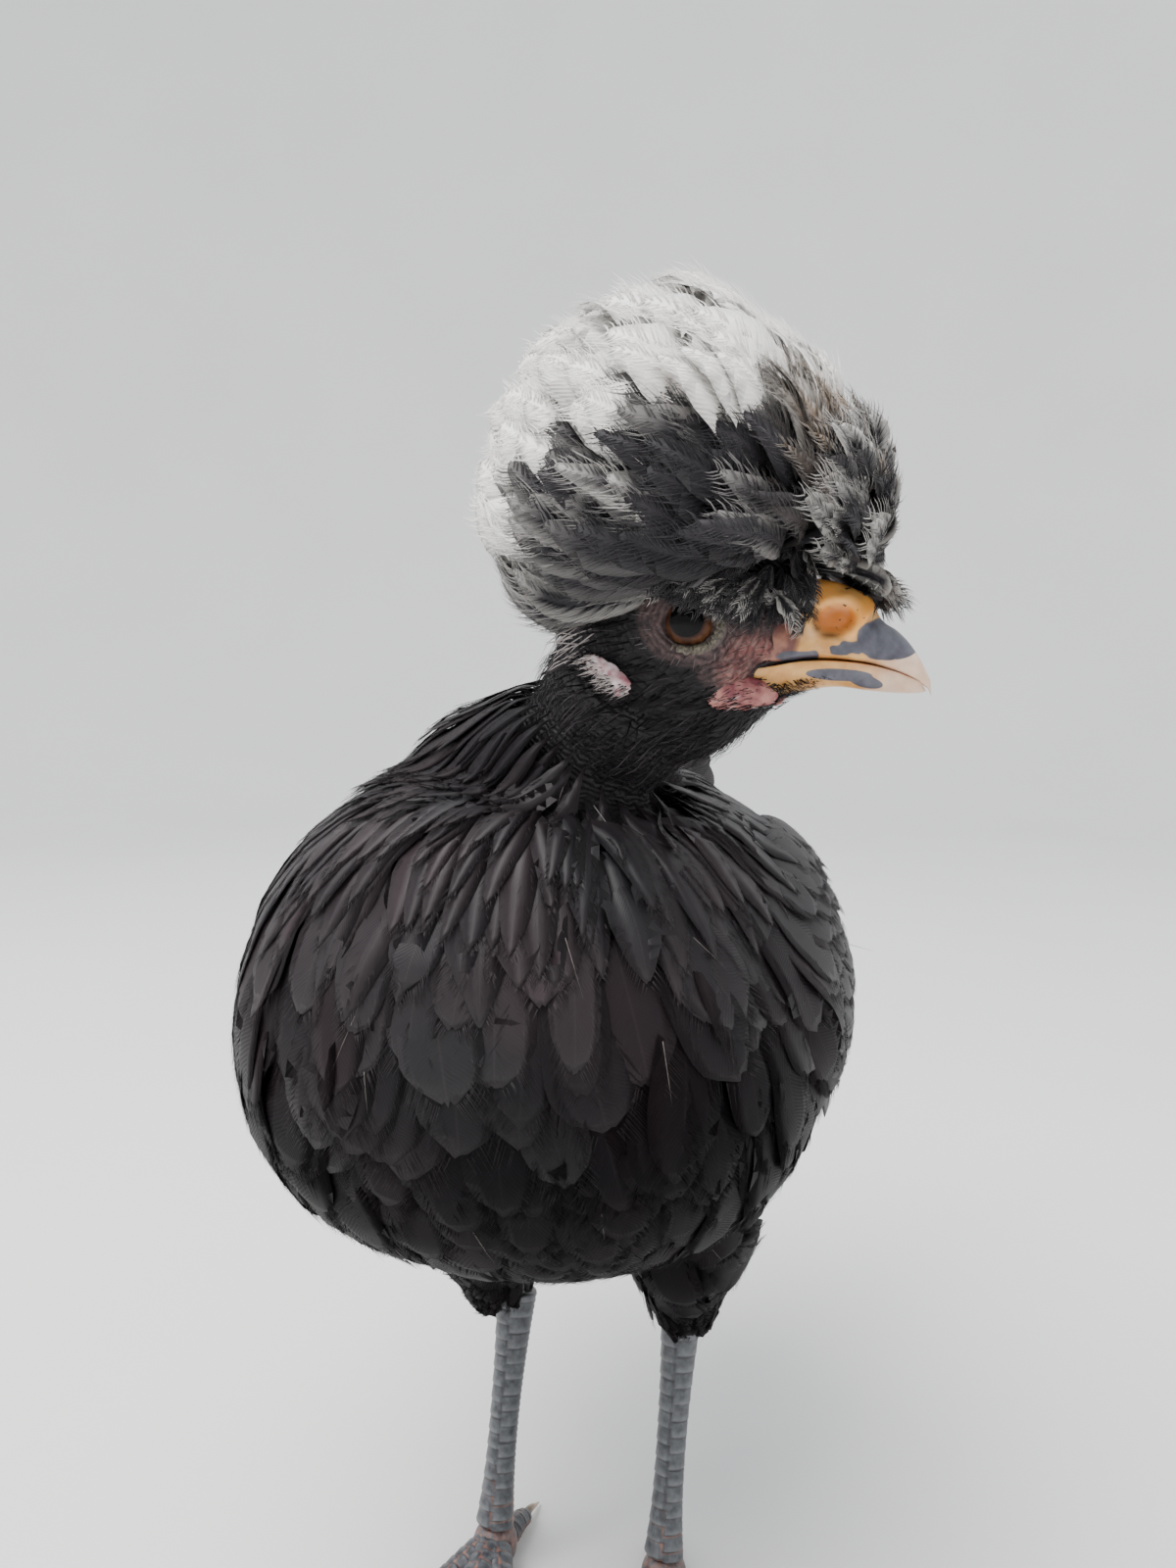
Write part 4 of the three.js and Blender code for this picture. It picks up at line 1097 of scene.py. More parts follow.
def add_crest_feathers(coat, paths, outs, widths, spots, values, barbs, rng, core=0.55, outline="crest"):
    """Soft feathers: a narrow vane, and loose barbs that reach past it on both sides."""
    common = (coat, paths, outs, widths, outline)
    add_vanes(coat, paths, outs, widths * core, outline, 10, 3, spots, values, 0.2, 0.14, 1.0, rng)
    add_barbs(*common, np.linspace(0.2, 0.99, barbs), spots, values, CREST_BARBS, rng)


def make_crest(white_material, black_material):
    """The globe, in layers, and split into its white and its black feathers."""
    rng = np.random.default_rng(SEED + 1)
    tips, radii, widths = [], [], []
    for layer in CREST["layers"]:
        made = crest_tips(layer["count"], layer["reach"], rng)
        tips.append(made)
        radii.append(rng.uniform(*layer["radius"], len(made)))
        widths.append(rng.uniform(*layer["width"], len(made)))
    tips, radii, widths = (np.concatenate(group) for group in (tips, radii, widths))
    off_source = np.degrees(angle_between(tips, CREST_SOURCE))
    kept = off_source > 27
    tips, radii, widths, off_source = (data[kept] for data in (tips, radii, widths, off_source))
    widths = widths * mix(0.6, 1.06, ramp(off_source, 45, 85))
    slimness = mix(0.7, 1.0, ramp(off_source, 50, 95))
    paths = crest_paths(tips, radii, rng)
    outs = unit(paths - CREST["centre"] + 8 * CREST["axis"])
    paths, outs = head_to_bird(paths), head_ways(outs)
    sides, outs = twisted(paths, outs, rng)
    sway = rng.normal(0, 1.3, len(tips))[:, None, None] * sides
    paths = paths + sway * (np.linspace(0, 1, paths.shape[1]) ** 2)[None, :, None]
    white, fringe, brown = crest_colours(tips, radii, rng)
    fringe = fringe * ramp(off_source, 58, 85)
    spots = bake_places(paths[:, -1], *HEAD_BAKE)
    shade = rng.random(len(tips))
    halves = {
        "crest_white": (white > 0.5, white_material, "white_feather", "crest_top", 32, 0.95),
        "crest_black": (white < 0.5, black_material, "black_feather", "crest_rim", 34, 0.62),
    }
    for name, (chosen, material, slot, node, barbs, core) in halves.items():
        for number, lot in enumerate(lots(chosen, 220)):
            coat = Coat()
            picked = {"shade": shade[lot], "white": white[lot], "fringe": fringe[lot], "brown": brown[lot]}
            slim = 1.0 if name == "crest_white" else slimness[lot]
            feathers = (data[lot] for data in (paths, outs, widths, spots))
            add_crest_feathers(coat, *feathers, picked, barbs, rng, core * slim)
            coat.make(f"{name}_{number + 1}", material, slot, node)


def make_forelock(material):
    """Small feathers that lie over the front of the crest, each pointing away from the crest's source."""
    rng = np.random.default_rng(SEED + 8)
    count = FORELOCK["count"]
    up = unit(np.array([0.0, 0, 1]) - CREST_SOURCE[2] * CREST_SOURCE)
    aside = np.cross(CREST_SOURCE, up)
    turn = rng.uniform(0, 2 * np.pi, count)
    spoke = np.cos(turn)[:, None] * up + np.sin(turn)[:, None] * aside
    start = np.radians(FORELOCK["start"]) * np.sqrt(rng.random(count))
    finish = start + np.radians(rng.uniform(*FORELOCK["reach"], count))
    high = ramp(np.cos(turn) * np.degrees(finish), 5, 40)
    stand = rng.uniform(0.96, 1.06, count) + 0.05 * (1 - high) - 0.04 * high

    def place(angle, far):
        ways = CREST_SOURCE * np.cos(angle)[:, None] + spoke * np.sin(angle)[:, None]
        return CREST["centre"] + ways * (FORELOCK["radius"] * far)[:, None]

    roots = place(0.6 * start, 0.66 * stand)
    bends = place(mix(start, finish, 0.3), 1.1 * stand)
    tips = place(finish, stand)
    over_bill = (tips[:, 2] < 13) & (np.abs(tips[:, 1]) < 8.5)
    ahead = 27.5 + rng.uniform(0, 4.0, count)
    tips[:, 0] = np.where(over_bill, np.maximum(tips[:, 0], ahead), tips[:, 0])
    tips[:, 2] = np.where(over_bill, np.maximum(tips[:, 2], 9.9 + rng.uniform(0, 2.5, count)), tips[:, 2])
    bends[:, 2] = np.where(over_bill, np.maximum(bends[:, 2], 15.0), bends[:, 2])
    clear = (over_bill | (tips[:, 2] > 12.0)) & (roots[:, 2] > 12.0)
    roots, bends, tips = (data[clear] for data in (roots, bends, tips))
    count = len(roots)
    paths = bezier(roots, bends, tips, 9)
    outs = unit(paths - CREST["centre"])
    paths, outs = head_to_bird(paths), head_ways(outs)
    _, outs = twisted(paths, outs, rng)
    values = crest_values(rng, count, 0.55)
    spots = bake_places(paths[:, 0], *HEAD_BAKE)
    widths = rng.uniform(*FORELOCK["width"], count)
    coat = Coat()
    add_crest_feathers(coat, paths, outs, widths, spots, values, 20, rng, 0.66, "round")
    coat.make("crest_forelock", material)


def make_eye_fringe(material):
    """Small feathers that hang from the brow over the top of each eye."""
    rng = np.random.default_rng(SEED + 9)
    coat = Coat()
    for side in (1, -1):
        count = 130
        x = rng.uniform(-6.5, 14.5, count)
        high = rng.uniform(0, 1, count)
        aside = np.where(x > 11, rng.uniform(1.0, 7.5, count), 11.8 - 2.2 * high - 0.02 * x**2)
        roots = vectors(x, aside, np.where(x > 11, 9.0, 7.0) + 3.6 * high)
        ahead = -0.7 + 0.05 * x + 0.7 * ramp(x, 10, 14)
        ways = unit(vectors(ahead, 0.3, -0.72) + rng.normal(0, 0.14, (count, 3)))
        lengths = rng.uniform(6.0, 9.5, count) * np.where(x > 11, 0.62, 1.0)
        tips = roots + ways * lengths[:, None]
        tips[:, 1] = np.maximum(tips[:, 1], np.where(x > 11, 7.6, 14.4) + rng.uniform(0, 1.6, count))
        floor = 0.9 + 0.1 * np.abs(tips[:, 0] + 1) - 0.25 * np.maximum(tips[:, 0] - 4, 0)
        tips[:, 2] = np.maximum(tips[:, 2], floor + rng.uniform(0, 1.8, count))
        bends = 0.5 * (roots + tips) + np.array([0.3, 1.9, 1.2])
        paths = bezier(roots, bends, tips, 9)
        outs = np.broadcast_to(np.array([0.1, 1.0, 0.55]), paths.shape)
        paths, outs = head_to_bird(paths * [1, side, 1]), head_ways(unit(outs * [1, side, 1]))
        fringe = pale_rims(rng, count, 0.12, 0.08)
        values = plain_values(rng, count)
        values["fringe"] = fringe
        spots = bake_places(paths[:, 0], *HEAD_BAKE)
        add_crest_feathers(coat, paths, outs, rng.uniform(3.6, 5.4, count), spots, values, 13, rng, 0.42)
    coat.make("coat_eye_fringe", material)


def make_brow(tree, skin_points, quads, material):
    """Short soft feathers that fill the space between the crest and the face."""
    rng = np.random.default_rng(SEED + 2)
    roots = scatter(skin_points, quads, rng, 1.9, (HEAD_PLACE + [0, 0, 8.0], 26.0))
    local = bird_to_head(roots)
    height = local[:, 2] + 0.1 * local[:, 0]
    keep = (height > 5.9) & (local[:, 0] < 15) & (reach_of(local) < 30)
    roots, local = roots[keep], local[keep]
    count = len(roots)
    ahead = ramp(local[:, 0], 6, 13)
    ways = vectors(-0.9 + 1.7 * ahead, 0.5 * np.sign(local[:, 1]), -0.6)
    ways = head_ways(unit(ways)) + rng.normal(0, 0.18, (count, 3))
    lengths = rng.uniform(7.5, 11.5, count) - 2.5 * ahead
    lengths = np.where(height[keep] < 8.5, 0.62 * lengths, lengths)
    heights = rng.uniform(1.6, 4.6, count)
    paths, outs = lay_paths(tree, roots, ways, lengths, heights, 6)
    widths = rng.uniform(4.5, 7.0, count)
    values = crest_values(rng, count, 0.14)
    spots = bake_places(roots, *HEAD_BAKE)
    coat = Coat()
    add_crest_feathers(coat, paths, outs, widths, spots, values, 14, rng)
    coat.make("coat_brow", material)


# Wings and tail


def add_flight_feathers(coat, paths, outs, widths, dull, camber, rng):
    """Long stiff vanes of a wing or the tail, whose dullness, with the painted shade that darkens their
    colour, lies in a range.
    """
    spots = bake_places(paths[:, 0], *BODY_BAKE)
    values = plain_values(rng, len(paths))
    values["dull"] = rng.uniform(*dull, len(paths))
    add_vanes(coat, paths, outs, widths, "flight", 22, 9, spots, values, camber, 0.5, 0.5, rng)


def wing_vanes(side, tier, rng):
    """Paths, outer directions and widths of one tier, laid over the wing's bowl."""
    count = tier["count"]
    share = np.linspace(0, 1, count)[:, None]
    root, tip = (mix(*np.array(tier[key], float)[:, None], share[:, 0]) for key in ("root", "tip"))
    tip = tip + rng.normal(0, 1.1, tip.shape) * [1.5, 0.5]
    t = np.linspace(0, 1, 13)
    yz = root[:, None] * (1 - t[:, None]) + tip[:, None] * t[:, None]
    y, z = yz[..., 0], yz[..., 1] + 3 * np.sin(np.pi * t)
    lift = between(tier["lift"], t) - 0.5 * share
    x = wing_reach(y, z) + lift
    paths = vectors(side * x, y, z)
    slope = wing_reach(y, z + 0.5) - wing_reach(y, z - 0.5) - WING_SHINGLE
    outs = unit(np.cross(np.gradient(paths, axis=1), vectors(side * slope, 0.0, 1.0))) * side
    return paths, outs, np.full(count, tier["width"], float) * rng.uniform(0.9, 1.12, count)


def make_wing(name, side, material):
    """All rows of one wing's feathers, from the flight feathers to the smallest coverts."""
    rng = np.random.default_rng(SEED + 5)
    coat = Coat()
    for tier in WING_TIERS:
        add_flight_feathers(coat, *wing_vanes(side, tier, rng), (0.25, 0.45), 0.1, rng)
    coat.make("wing_feathers_" + name, material, "black_feather", "wing_" + name)


def make_tail(material):
    """Pairs of feathers in tiers, each pair lower and leaning further out than the one above it."""
    rng = np.random.default_rng(SEED + 7)
    coat = Coat()
    turn = np.array(Matrix.Rotation(TAIL_RISE, 3, "X"))
    for tier in TAIL_TIERS:
        order = np.repeat(np.arange(tier["pairs"]), 2)
        side = np.tile([1.0, -1.0], tier["pairs"])
        share = order / (tier["pairs"] - 1)
        rise, lean = (np.radians(between(tier[key], share)) for key in ("fan", "lean"))
        out = vectors(side * np.sin(lean), 0.0, np.cos(lean))
        way = unit(vectors(side * (0.05 + 0.15 * share), np.cos(rise), np.sin(rise)))
        down = 9.2 * share
        stand = 4.5 + tier["lift"] - 5.2 * share * tier["tuck"]
        root = vectors(0.0, tier["start"], 4 - down) + out * stand[:, None]
        reach = tier["length"] * (1 - 0.16 * share**2) * rng.uniform(0.97, 1.02, len(share))
        bend = root + way * (reach * 0.5)[:, None] + out * 0.8
        tip = root + way * reach[:, None] - out * (1.5 + tier["lift"] * 0.4)
        paths = bezier(root, bend, tip, 13) @ turn.T + TAIL_ROOT
        outs = np.broadcast_to((out @ turn.T)[:, None], paths.shape)
        widths = np.full(len(paths), tier["width"], float)
        add_flight_feathers(coat, paths, outs, widths, (0.15, 0.35), 0.06, rng)
    coat.make("tail_feathers", material, "black_feather", "tail")


# Bill, eyes, lids and lobes


def surface_noise(points, scale, seed=0.0):
    """Smooth values from -1 to 1 over space, the same in every run."""
    offset = Vector((seed, seed * 1.7, seed * 0.6))
    return np.array([noise.noise(Vector(p) * scale + offset) for p in np.asarray(points).tolist()])


def oval_reach(points, x, z, half_length, half_height, tilt):
    """How far out points lie in an oval in side view: 0 at its middle, 1 at its edge."""
    cos, sin = cos_sin(math.radians(tilt))
    dx, dz = points[:, 0] - x, points[:, 2] - z
    return np.hypot((dx * cos + dz * sin) / half_length, (dz * cos - dx * sin) / half_height)


def spot_share(points, spots):
    """1 inside any of the spots, fading out past their edges."""
    share = np.zeros(len(points))
    for spot in spots:
        share = np.maximum(share, 1 - ramp(oval_reach(points, *spot), 0.75, 1.25))
    return share


def carve_nostrils(points):
    """Raises the knob and hollows the nostrils in it. Returns where knob, hollows and their slits are."""
    x, _, z = points.T
    far = oval_reach(points, *NOSTRIL["oval"])
    dent = 1 - ramp(far, 0.6, 1.0)
    lip = np.exp(-(((far - 1.15) / 0.25) ** 2))
    low_side = -0.6 * (x - NOSTRIL["oval"][0]) - 0.9 * (z - NOSTRIL["oval"][1])
    slit = np.exp(-(((far - 0.9) / 0.14) ** 2)) * ramp(low_side, 0.2, 1.8)
    side = np.sign(points[:, 1])
    points[:, 1] -= side * (NOSTRIL["depth"] * dent - 0.3 * lip)
    knob = ramp(z, 2.6, 4.8) * (1 - ramp(x - 0.35 * z, 23.2, 24.4))
    grain = surface_noise(points, 0.45)
    step = 1 - ramp(np.abs(x - 0.35 * z - 24.6), 0.0, 0.9)
    points[:, 1] += np.sign(points[:, 1]) * (0.5 * knob + 0.25 * grain * knob - 0.3 * step * ramp(z, 3, 5))
    points[:, 2] += (0.35 * knob + 0.4 * grain * knob) * ramp(z, 8, 11)
    return knob, dent, slit


def bill_half(part, shift, material):
    """The upper or the lower half of the closed bill, from its rows."""
    rows = BILL[part]
    at = along(rows)
    rings = []
    for place in np.linspace(rows[0][0], rows[-1][0], 90):
        top, bottom, half = at(place)
        middle = bottom + BILL[part + "_middle"] * (top - bottom)
        centre = (place, 0, middle + shift)
        rings.append(ring(centre, (0, 1, 0), (0, 0, 1), half, top - middle, middle - bottom, 72))
    tip = np.array(BILL[part + "_tip"], float) + [0, 0, shift]
    points, faces = loft(rings, None, tip)
    x, _, z = points.T
    if part == "upper":
        knob, dent, slit = carve_nostrils(points)
        base = 1 - ramp(x + 0.5 * np.maximum(z, 0), 15.5, 19.5)
    else:
        knob = dent = slit = np.zeros(len(points))
        base = 1 - ramp(x, 9.5, 13)
    slate = spot_share(points, SLATE_SPOTS[part])
    values = {"slate": slate, "knob": knob, "hole": dent, "slit": slit, "pale": ramp(x, 27, 34), "base": base}
    make_piece("beak_" + part, head_to_bird(points), faces, material, values, "bill_horn", "bill_" + part)


def make_eye(name, side, material):
    """A ball with finer rings in front, where pupil and iris are."""
    polar = np.concatenate([np.linspace(0, 1.0, 44)[1:], np.linspace(1.0, np.pi, 14)[1:-1]])
    turn = turns(64)
    x, z = np.outer(np.sin(polar), np.cos(turn)), np.outer(np.sin(polar), np.sin(turn))
    rings = vectors(x, np.cos(polar)[:, None], z)
    points, faces = loft(rings * EYE["radius"], (0, EYE["radius"], 0), (0, -EYE["radius"], 0))
    far = np.where(points[:, 1] > 0, np.hypot(points[:, 0], points[:, 2]), 9.0)
    points = (points + EYE["place"]) * [1, side, 1]
    points, faces = head_to_bird(points), turned_over(faces, side > 0)
    make_piece("eyeball_" + name, points, faces, material, {"far": far}, "eye_gloss", "eye_" + name)


def make_lid(name, side, material):
    """A fleshy ring round the eye, with small creases that run outwards."""
    turn = turns(LID["sides"])
    section = np.linspace(0, 2 * np.pi, LID["section"] + 1)[:-1]
    share = (1 - np.cos(section)) / 2
    bulge = np.sin(section) * np.where(np.sin(section) > 0, 1.0, 0.5)
    rings = []
    for angle in turn:
        crease = 0.09 * math.sin(31 * angle) + 0.07 * math.sin(53 * angle + 1)
        x = between(LID["length"], share) * math.cos(angle)
        z = between(LID["height"], share) * math.sin(angle)
        y = LID["place"] - 0.5 * share + LID["rise"] * bulge * (1 + crease * 2.6)
        rings.append(vectors(x, y, z))
    points = np.concatenate(rings)
    index = np.arange(len(points)).reshape(LID["sides"], LID["section"])
    around, inward = np.roll(index, -1, 0), np.roll(index, -1, 1)
    quads = np.stack([index, around, np.roll(around, -1, 1), inward], -1).reshape(-1, 4)
    points = head_to_bird(points * [1, side, 1])
    values = {"rim": np.tile(share, LID["sides"])}
    make_piece("eyelid_" + name, points, turned_over([quads], side < 0), material, values, "face_skin")


def make_flap(label, form, side, name, material, slot, node):
    """A soft lobe: an ellipsoid with shallow folds."""
    points, faces = ellipsoid(np.zeros(3), form["size"], 40, 64)
    folds = 1 + form["wrinkle"] * surface_noise(points, 0.55, 3.0)
    folds = folds + 0.5 * form["wrinkle"] * surface_noise(points, 1.4, 7.0)
    points = points * folds[:, None]
    cos, sin = cos_sin(form["tilt"])
    points = points @ np.array([[cos, 0, sin], [0, 1, 0], [-sin, 0, cos]]) + form["place"]
    values = {"along": (points[:, 0] - form["place"][0]) / form["size"][0]}
    points, faces = head_to_bird(points * [1, side, 1]), turned_over(faces, side < 0)
    make_piece(label + "_" + name, points, faces, material, values, slot, node + "_" + name)


# Legs


def scute_profile(place, turn, count):
    """Raised plates in two offset rows on the front, and a fine net of scales at the back."""
    front = 1 - ramp(np.abs(turn), 1.25, 1.75)
    half_step = np.where(turn > 0, 0.5, 0.0)
    saw = (place * count + half_step) % 1.0
    plate = np.minimum(1, saw * 6) * (1 - 0.55 * saw) - 0.45 * (1 - ramp(np.abs(turn), 0.05, 0.16))
    net = 0.45 * np.abs(np.sin(place * count * 2.4 * np.pi)) * np.abs(np.sin(turn * 4.0))
    return mix(net, plate, front)


def scaled_tube(curve, sizes, count, rise, across, steps, sides=40, floor=None):
    """Rings along a curve of points, each as wide as its sizes, with scutes on the side that `up` faces."""
    spots = np.linspace(0, 1, steps)
    centres = sample(curve[None], spots[None])[0]
    ways = unit(np.gradient(centres, axis=0))
    size_at = along(sizes)
    turn = turns(sides) - np.pi
    rings, shades = [], []
    for place, centre, way in zip(spots, centres, ways):
        half, depth = size_at(place)
        wide = unit(across - way * (across @ way))
        up = np.cross(wide, way)
        profile = scute_profile(place, turn, count)
        swell = rise * profile
        points = centre + np.outer(np.sin(turn) * (half + swell), wide)
        points = points + np.outer(np.cos(turn) * (depth + swell), up)
        if floor is not None:
            points[:, 2] = np.maximum(points[:, 2], floor)
        rings.append(points)
        shades.append(profile)
    return np.array(rings), np.array(shades)


def leg_frame(side):
    """Where one leg's ankle stands on the floor."""
    return np.array([side * LEG_X + LEG_ASIDE, LEG_Y, 0.0])


def make_shank(name, side, material):
    """The bare scaled shank from ankle to hock."""
    curve = np.stack([ANKLE + [0, 0, -1.5], ANKLE + (HOCK - ANKLE) * 0.5, HOCK + [0.3, 0.6, 2.5]])
    rings, shades = scaled_tube(curve, SHANK, SHANK_SCUTES, SCUTE_RISE, np.array([1.0, 0, 0]), 230)
    points, faces = loft(rings)
    values = {"scute": np.append(shades.ravel(), [0, 0]), "low": 1 - ramp(points[:, 2], 8, 26)}
    points = points + leg_frame(side)
    make_piece("shank_skin_" + name, points, faces, material, values, "leg_scale", "shank_" + name)


def toe_curve(toe, side):
    """The middle line of a toe from the ankle's foot to the claw, and the way it heads."""
    heading = math.radians(toe["heading"])
    way = np.array([side * math.sin(heading), -math.cos(heading), 0.0])
    knots = [(0, 6.0), (0.22, 4.4), (0.45, 2.6), (0.75, 2.7), (1, toe["end"] + 0.2)]
    height = along(knots)
    shares = np.linspace(0, 1, 40)
    points = np.array([way * toe["length"] * share + [0, 0, height(share)[0]] for share in shares])
    return points, way


def make_foot(name, side, skin_look, claw_look):
    """Four scaled toes and the ball between them, flat on the floor, with their claws."""
    parts, scute = [], []
    for toe in TOES:
        curve, way = toe_curve(toe, side)
        across = np.cross(way, [0, 0, 1.0])
        base, end = toe["base"], toe["end"]
        sizes = [(0, base + 0.4, base), (0.4, base, base), (1, end, end)]
        rings, shades = scaled_tube(curve, sizes, toe["scutes"], TOE_RISE, across, 120, 32, floor=0.0)
        parts.append(loft(rings))
        scute.append(np.append(shades.ravel(), [0, 0]))
        make_claw(toe, name, side, curve, across, claw_look)
    ball, groups = ellipsoid(*FOOT_BALL)
    ball[:, 2] = np.maximum(ball[:, 2], 0)
    parts.append((ball, groups))
    scute.append(0.3 + 0.3 * surface_noise(ball, 1.3))
    points, faces = join(parts)
    values = {"scute": np.concatenate(scute), "low": np.ones(len(points))}
    points = points + leg_frame(side)
    make_piece("foot_skin_" + name, points, faces, skin_look, values, "leg_scale", "foot_" + name)


def make_claw(toe, name, side, curve, across, material):
    """A claw that tapers from the toe's end and bends down to the floor."""
    root, way = curve[-1], unit(curve[-1] - curve[-2])
    scale = toe["end"] / 2
    up = unit(np.cross(across, way))
    rings = []
    for share in np.linspace(0, 0.97, 26):
        radius = CLAW_RADIUS * scale * (1 - 0.9 * share**1.3)
        middle = root + way * (share * CLAW_LENGTH * scale)
        middle = middle + [0, 0, 0.9 * math.sin(share * 2.6) - 1.1 * share**2]
        middle[2] = max(middle[2], radius + 0.6)
        rings.append(ring(middle, across, up, radius * 0.8, radius, radius * 0.85, 24))
    tip = root + way * CLAW_LENGTH * scale
    tip[2] = 0.6
    points, faces = loft(rings, None, tip)
    share = np.append(np.repeat(np.linspace(0, 0.97, 26), 24), [0, 1])
    label = toe["name"] + "_" + name
    points = points + leg_frame(side)
    make_piece("nail_" + label, points, faces, material, {"along": share}, "claw_horn", "claw_" + label)


# Materials


class Nodes:
    """One surface look, put together from nodes."""

    def __init__(self, name):
        self.material = bpy.data.materials.new(name)
        self.material.use_nodes = True
        self.tree = self.material.node_tree
        self.shader = self.tree.nodes["Principled BSDF"]

    def add(self, kind, **inputs):
        node = self.tree.nodes.new("ShaderNode" + kind)
        for key, value in inputs.items():
            if hasattr(node, key):
                setattr(node, key, value)
            else:
                self.feed(node.inputs[key.replace("_", " ")], value)
        return node

    def feed(self, socket, value):
        if isinstance(value, bpy.types.NodeSocket):
            self.tree.links.new(value, socket)
        elif socket.type == "RGBA":
            socket.default_value = (*value, 1)
        else:
            socket.default_value = value

    def set(self, **inputs):
        for key, value in inputs.items():
            self.feed(self.shader.inputs[key.replace("_", " ")], value)

    def attribute(self, name):
        return self.add("Attribute", attribute_name=name).outputs["Fac"]

    def attributes(self, *names):
        return [self.attribute(name) for name in names]

    def fill(self, node, inputs, output=0):
        for key, value in inputs.items():
            self.feed(node.inputs[key], value)
        return node.outputs[output]

    def math(self, operation, a, b=0.0):
        return self.fill(self.add("Math", operation=operation), {0: a, 1: b})

    def plus(self, a, b):
        return self.math("ADD", a, b)

    def times(self, a, b):
        return self.math("MULTIPLY", a, b)

    def span(self, value, low, high, to_low=0.0, to_high=1.0):
        limits = {"From Min": low, "From Max": high, "To Min": to_low, "To Max": to_high}
        return self.fill(self.add("MapRange"), {"Value": value, **limits})

    def blend(self, share, a, b):
        return self.fill(self.add("Mix", data_type="RGBA"), {0: share, 6: a, 7: b}, 2)

    def grade(self, value, low, high, a, b):
        """One colour up to a low value, another from a high value, and mixtures between them."""
        return self.blend(self.span(value, low, high), a, b)

    def noise(self, scale, detail):
        place = self.add("TexCoord").outputs["Object"]
        return self.add("TexNoise", Scale=scale, Detail=detail, Vector=place).outputs["Fac"]

    def bump(self, height, strength, distance):
        node = self.add("Bump", Height=height, Strength=strength, Distance=distance)
        self.set(Normal=node.outputs[0])


def barb_lines(nodes, count):
    """Fine lines that run from the shaft outwards and forwards, from the vane's own coordinates."""
    split = nodes.add("SeparateXYZ", Vector=nodes.add("UVMap", uv_map="Vane").outputs[0])
    from_shaft = nodes.math("ABSOLUTE", nodes.math("SUBTRACT", split.outputs[0], 0.5))
    line = nodes.math("SUBTRACT", split.outputs[1], nodes.times(from_shaft, 0.45))
    wave = nodes.math("SINE", nodes.times(line, count * 2 * math.pi))
    return nodes.span(wave, -1, 1), split.outputs[1], from_shaft


def black_feather(name, shine):
    """Black with a brown cast in some feathers. The neck's and the underside's are duller; their colour is
    painted darker, as shade on the underside and half as much on the neck.
    """
    nodes = Nodes(name)
    lines, along_vane, from_shaft = barb_lines(nodes, 34)
    shade, white, dull = nodes.attributes("shade", "white", "dull")
    coal, brown = (0.0064, 0.0056, 0.0072), (0.026, 0.0152, 0.018)
    patches = nodes.noise(34, 2)
    own = nodes.span(nodes.math("POWER", shade, 1.5), 0, 1, 0.25, 0.9)
    tone = nodes.times(own, nodes.span(patches, 0.38, 0.62, 0.05, 0.9))
    colour = nodes.blend(tone, coal, brown)
    shaft = nodes.span(from_shaft, 0.0, 0.025, 1, 0)
    colour = nodes.blend(nodes.times(shaft, 0.25), colour, (0.05, 0.042, 0.042))
    edge = nodes.span(along_vane, 0.86, 1.0)
    colour = nodes.blend(nodes.times(edge, 0.25), colour, (0.035, 0.03, 0.03))
    # Painted shade: the colour sinks nearly to black on dull feathers, most on the underside.
    colour = nodes.blend(nodes.times(dull, 0.78), colour, (0.0012, 0.001, 0.0012))
    colour = nodes.blend(white, colour, (0.42, 0.38, 0.37))
    nodes.set(Base_Color=colour)
    nodes.set(Roughness=nodes.span(lines, 0, 1, 0.44, 0.58))
    nodes.set(Specular_IOR_Level=shine)
    nodes.set(Sheen_Weight=0.08 * shine, Sheen_Roughness=0.4, Sheen_Tint=(0.7, 0.6, 0.65))
    nodes.bump(lines, 0.12, 0.0002)
    return nodes.material


def face_hair():
    nodes = Nodes("face_hair")
    shade, white = nodes.attributes("shade", "white")
    grain = nodes.noise(700, 2)
    colour = nodes.blend(nodes.math("POWER", shade, 3.0), (0.003, 0.0026, 0.0034), (0.062, 0.054, 0.058))
    colour = nodes.blend(nodes.span(grain, 0.4, 0.6, 0.0, 0.4), colour, (0.006, 0.005, 0.006))
    colour = nodes.blend(white, colour, (0.5, 0.44, 0.43))
    nodes.set(Base_Color=colour, Roughness=0.5, Specular_IOR_Level=0.12)
    nodes.bump(grain, 0.1, 0.0001)
    return nodes.material


def stray_shaft():
    nodes = Nodes("stray_shaft")
    grain = nodes.noise(800, 3)
    shade = nodes.attribute("shade")
    colour = nodes.grade(grain, 0.3, 0.7, (0.08, 0.065, 0.06), (0.3, 0.27, 0.25))
    nodes.set(Base_Color=nodes.blend(nodes.times(shade, 0.7), colour, (0.06, 0.045, 0.045)), Roughness=0.5)
    nodes.bump(grain, 0.2, 0.0001)
    return nodes.material


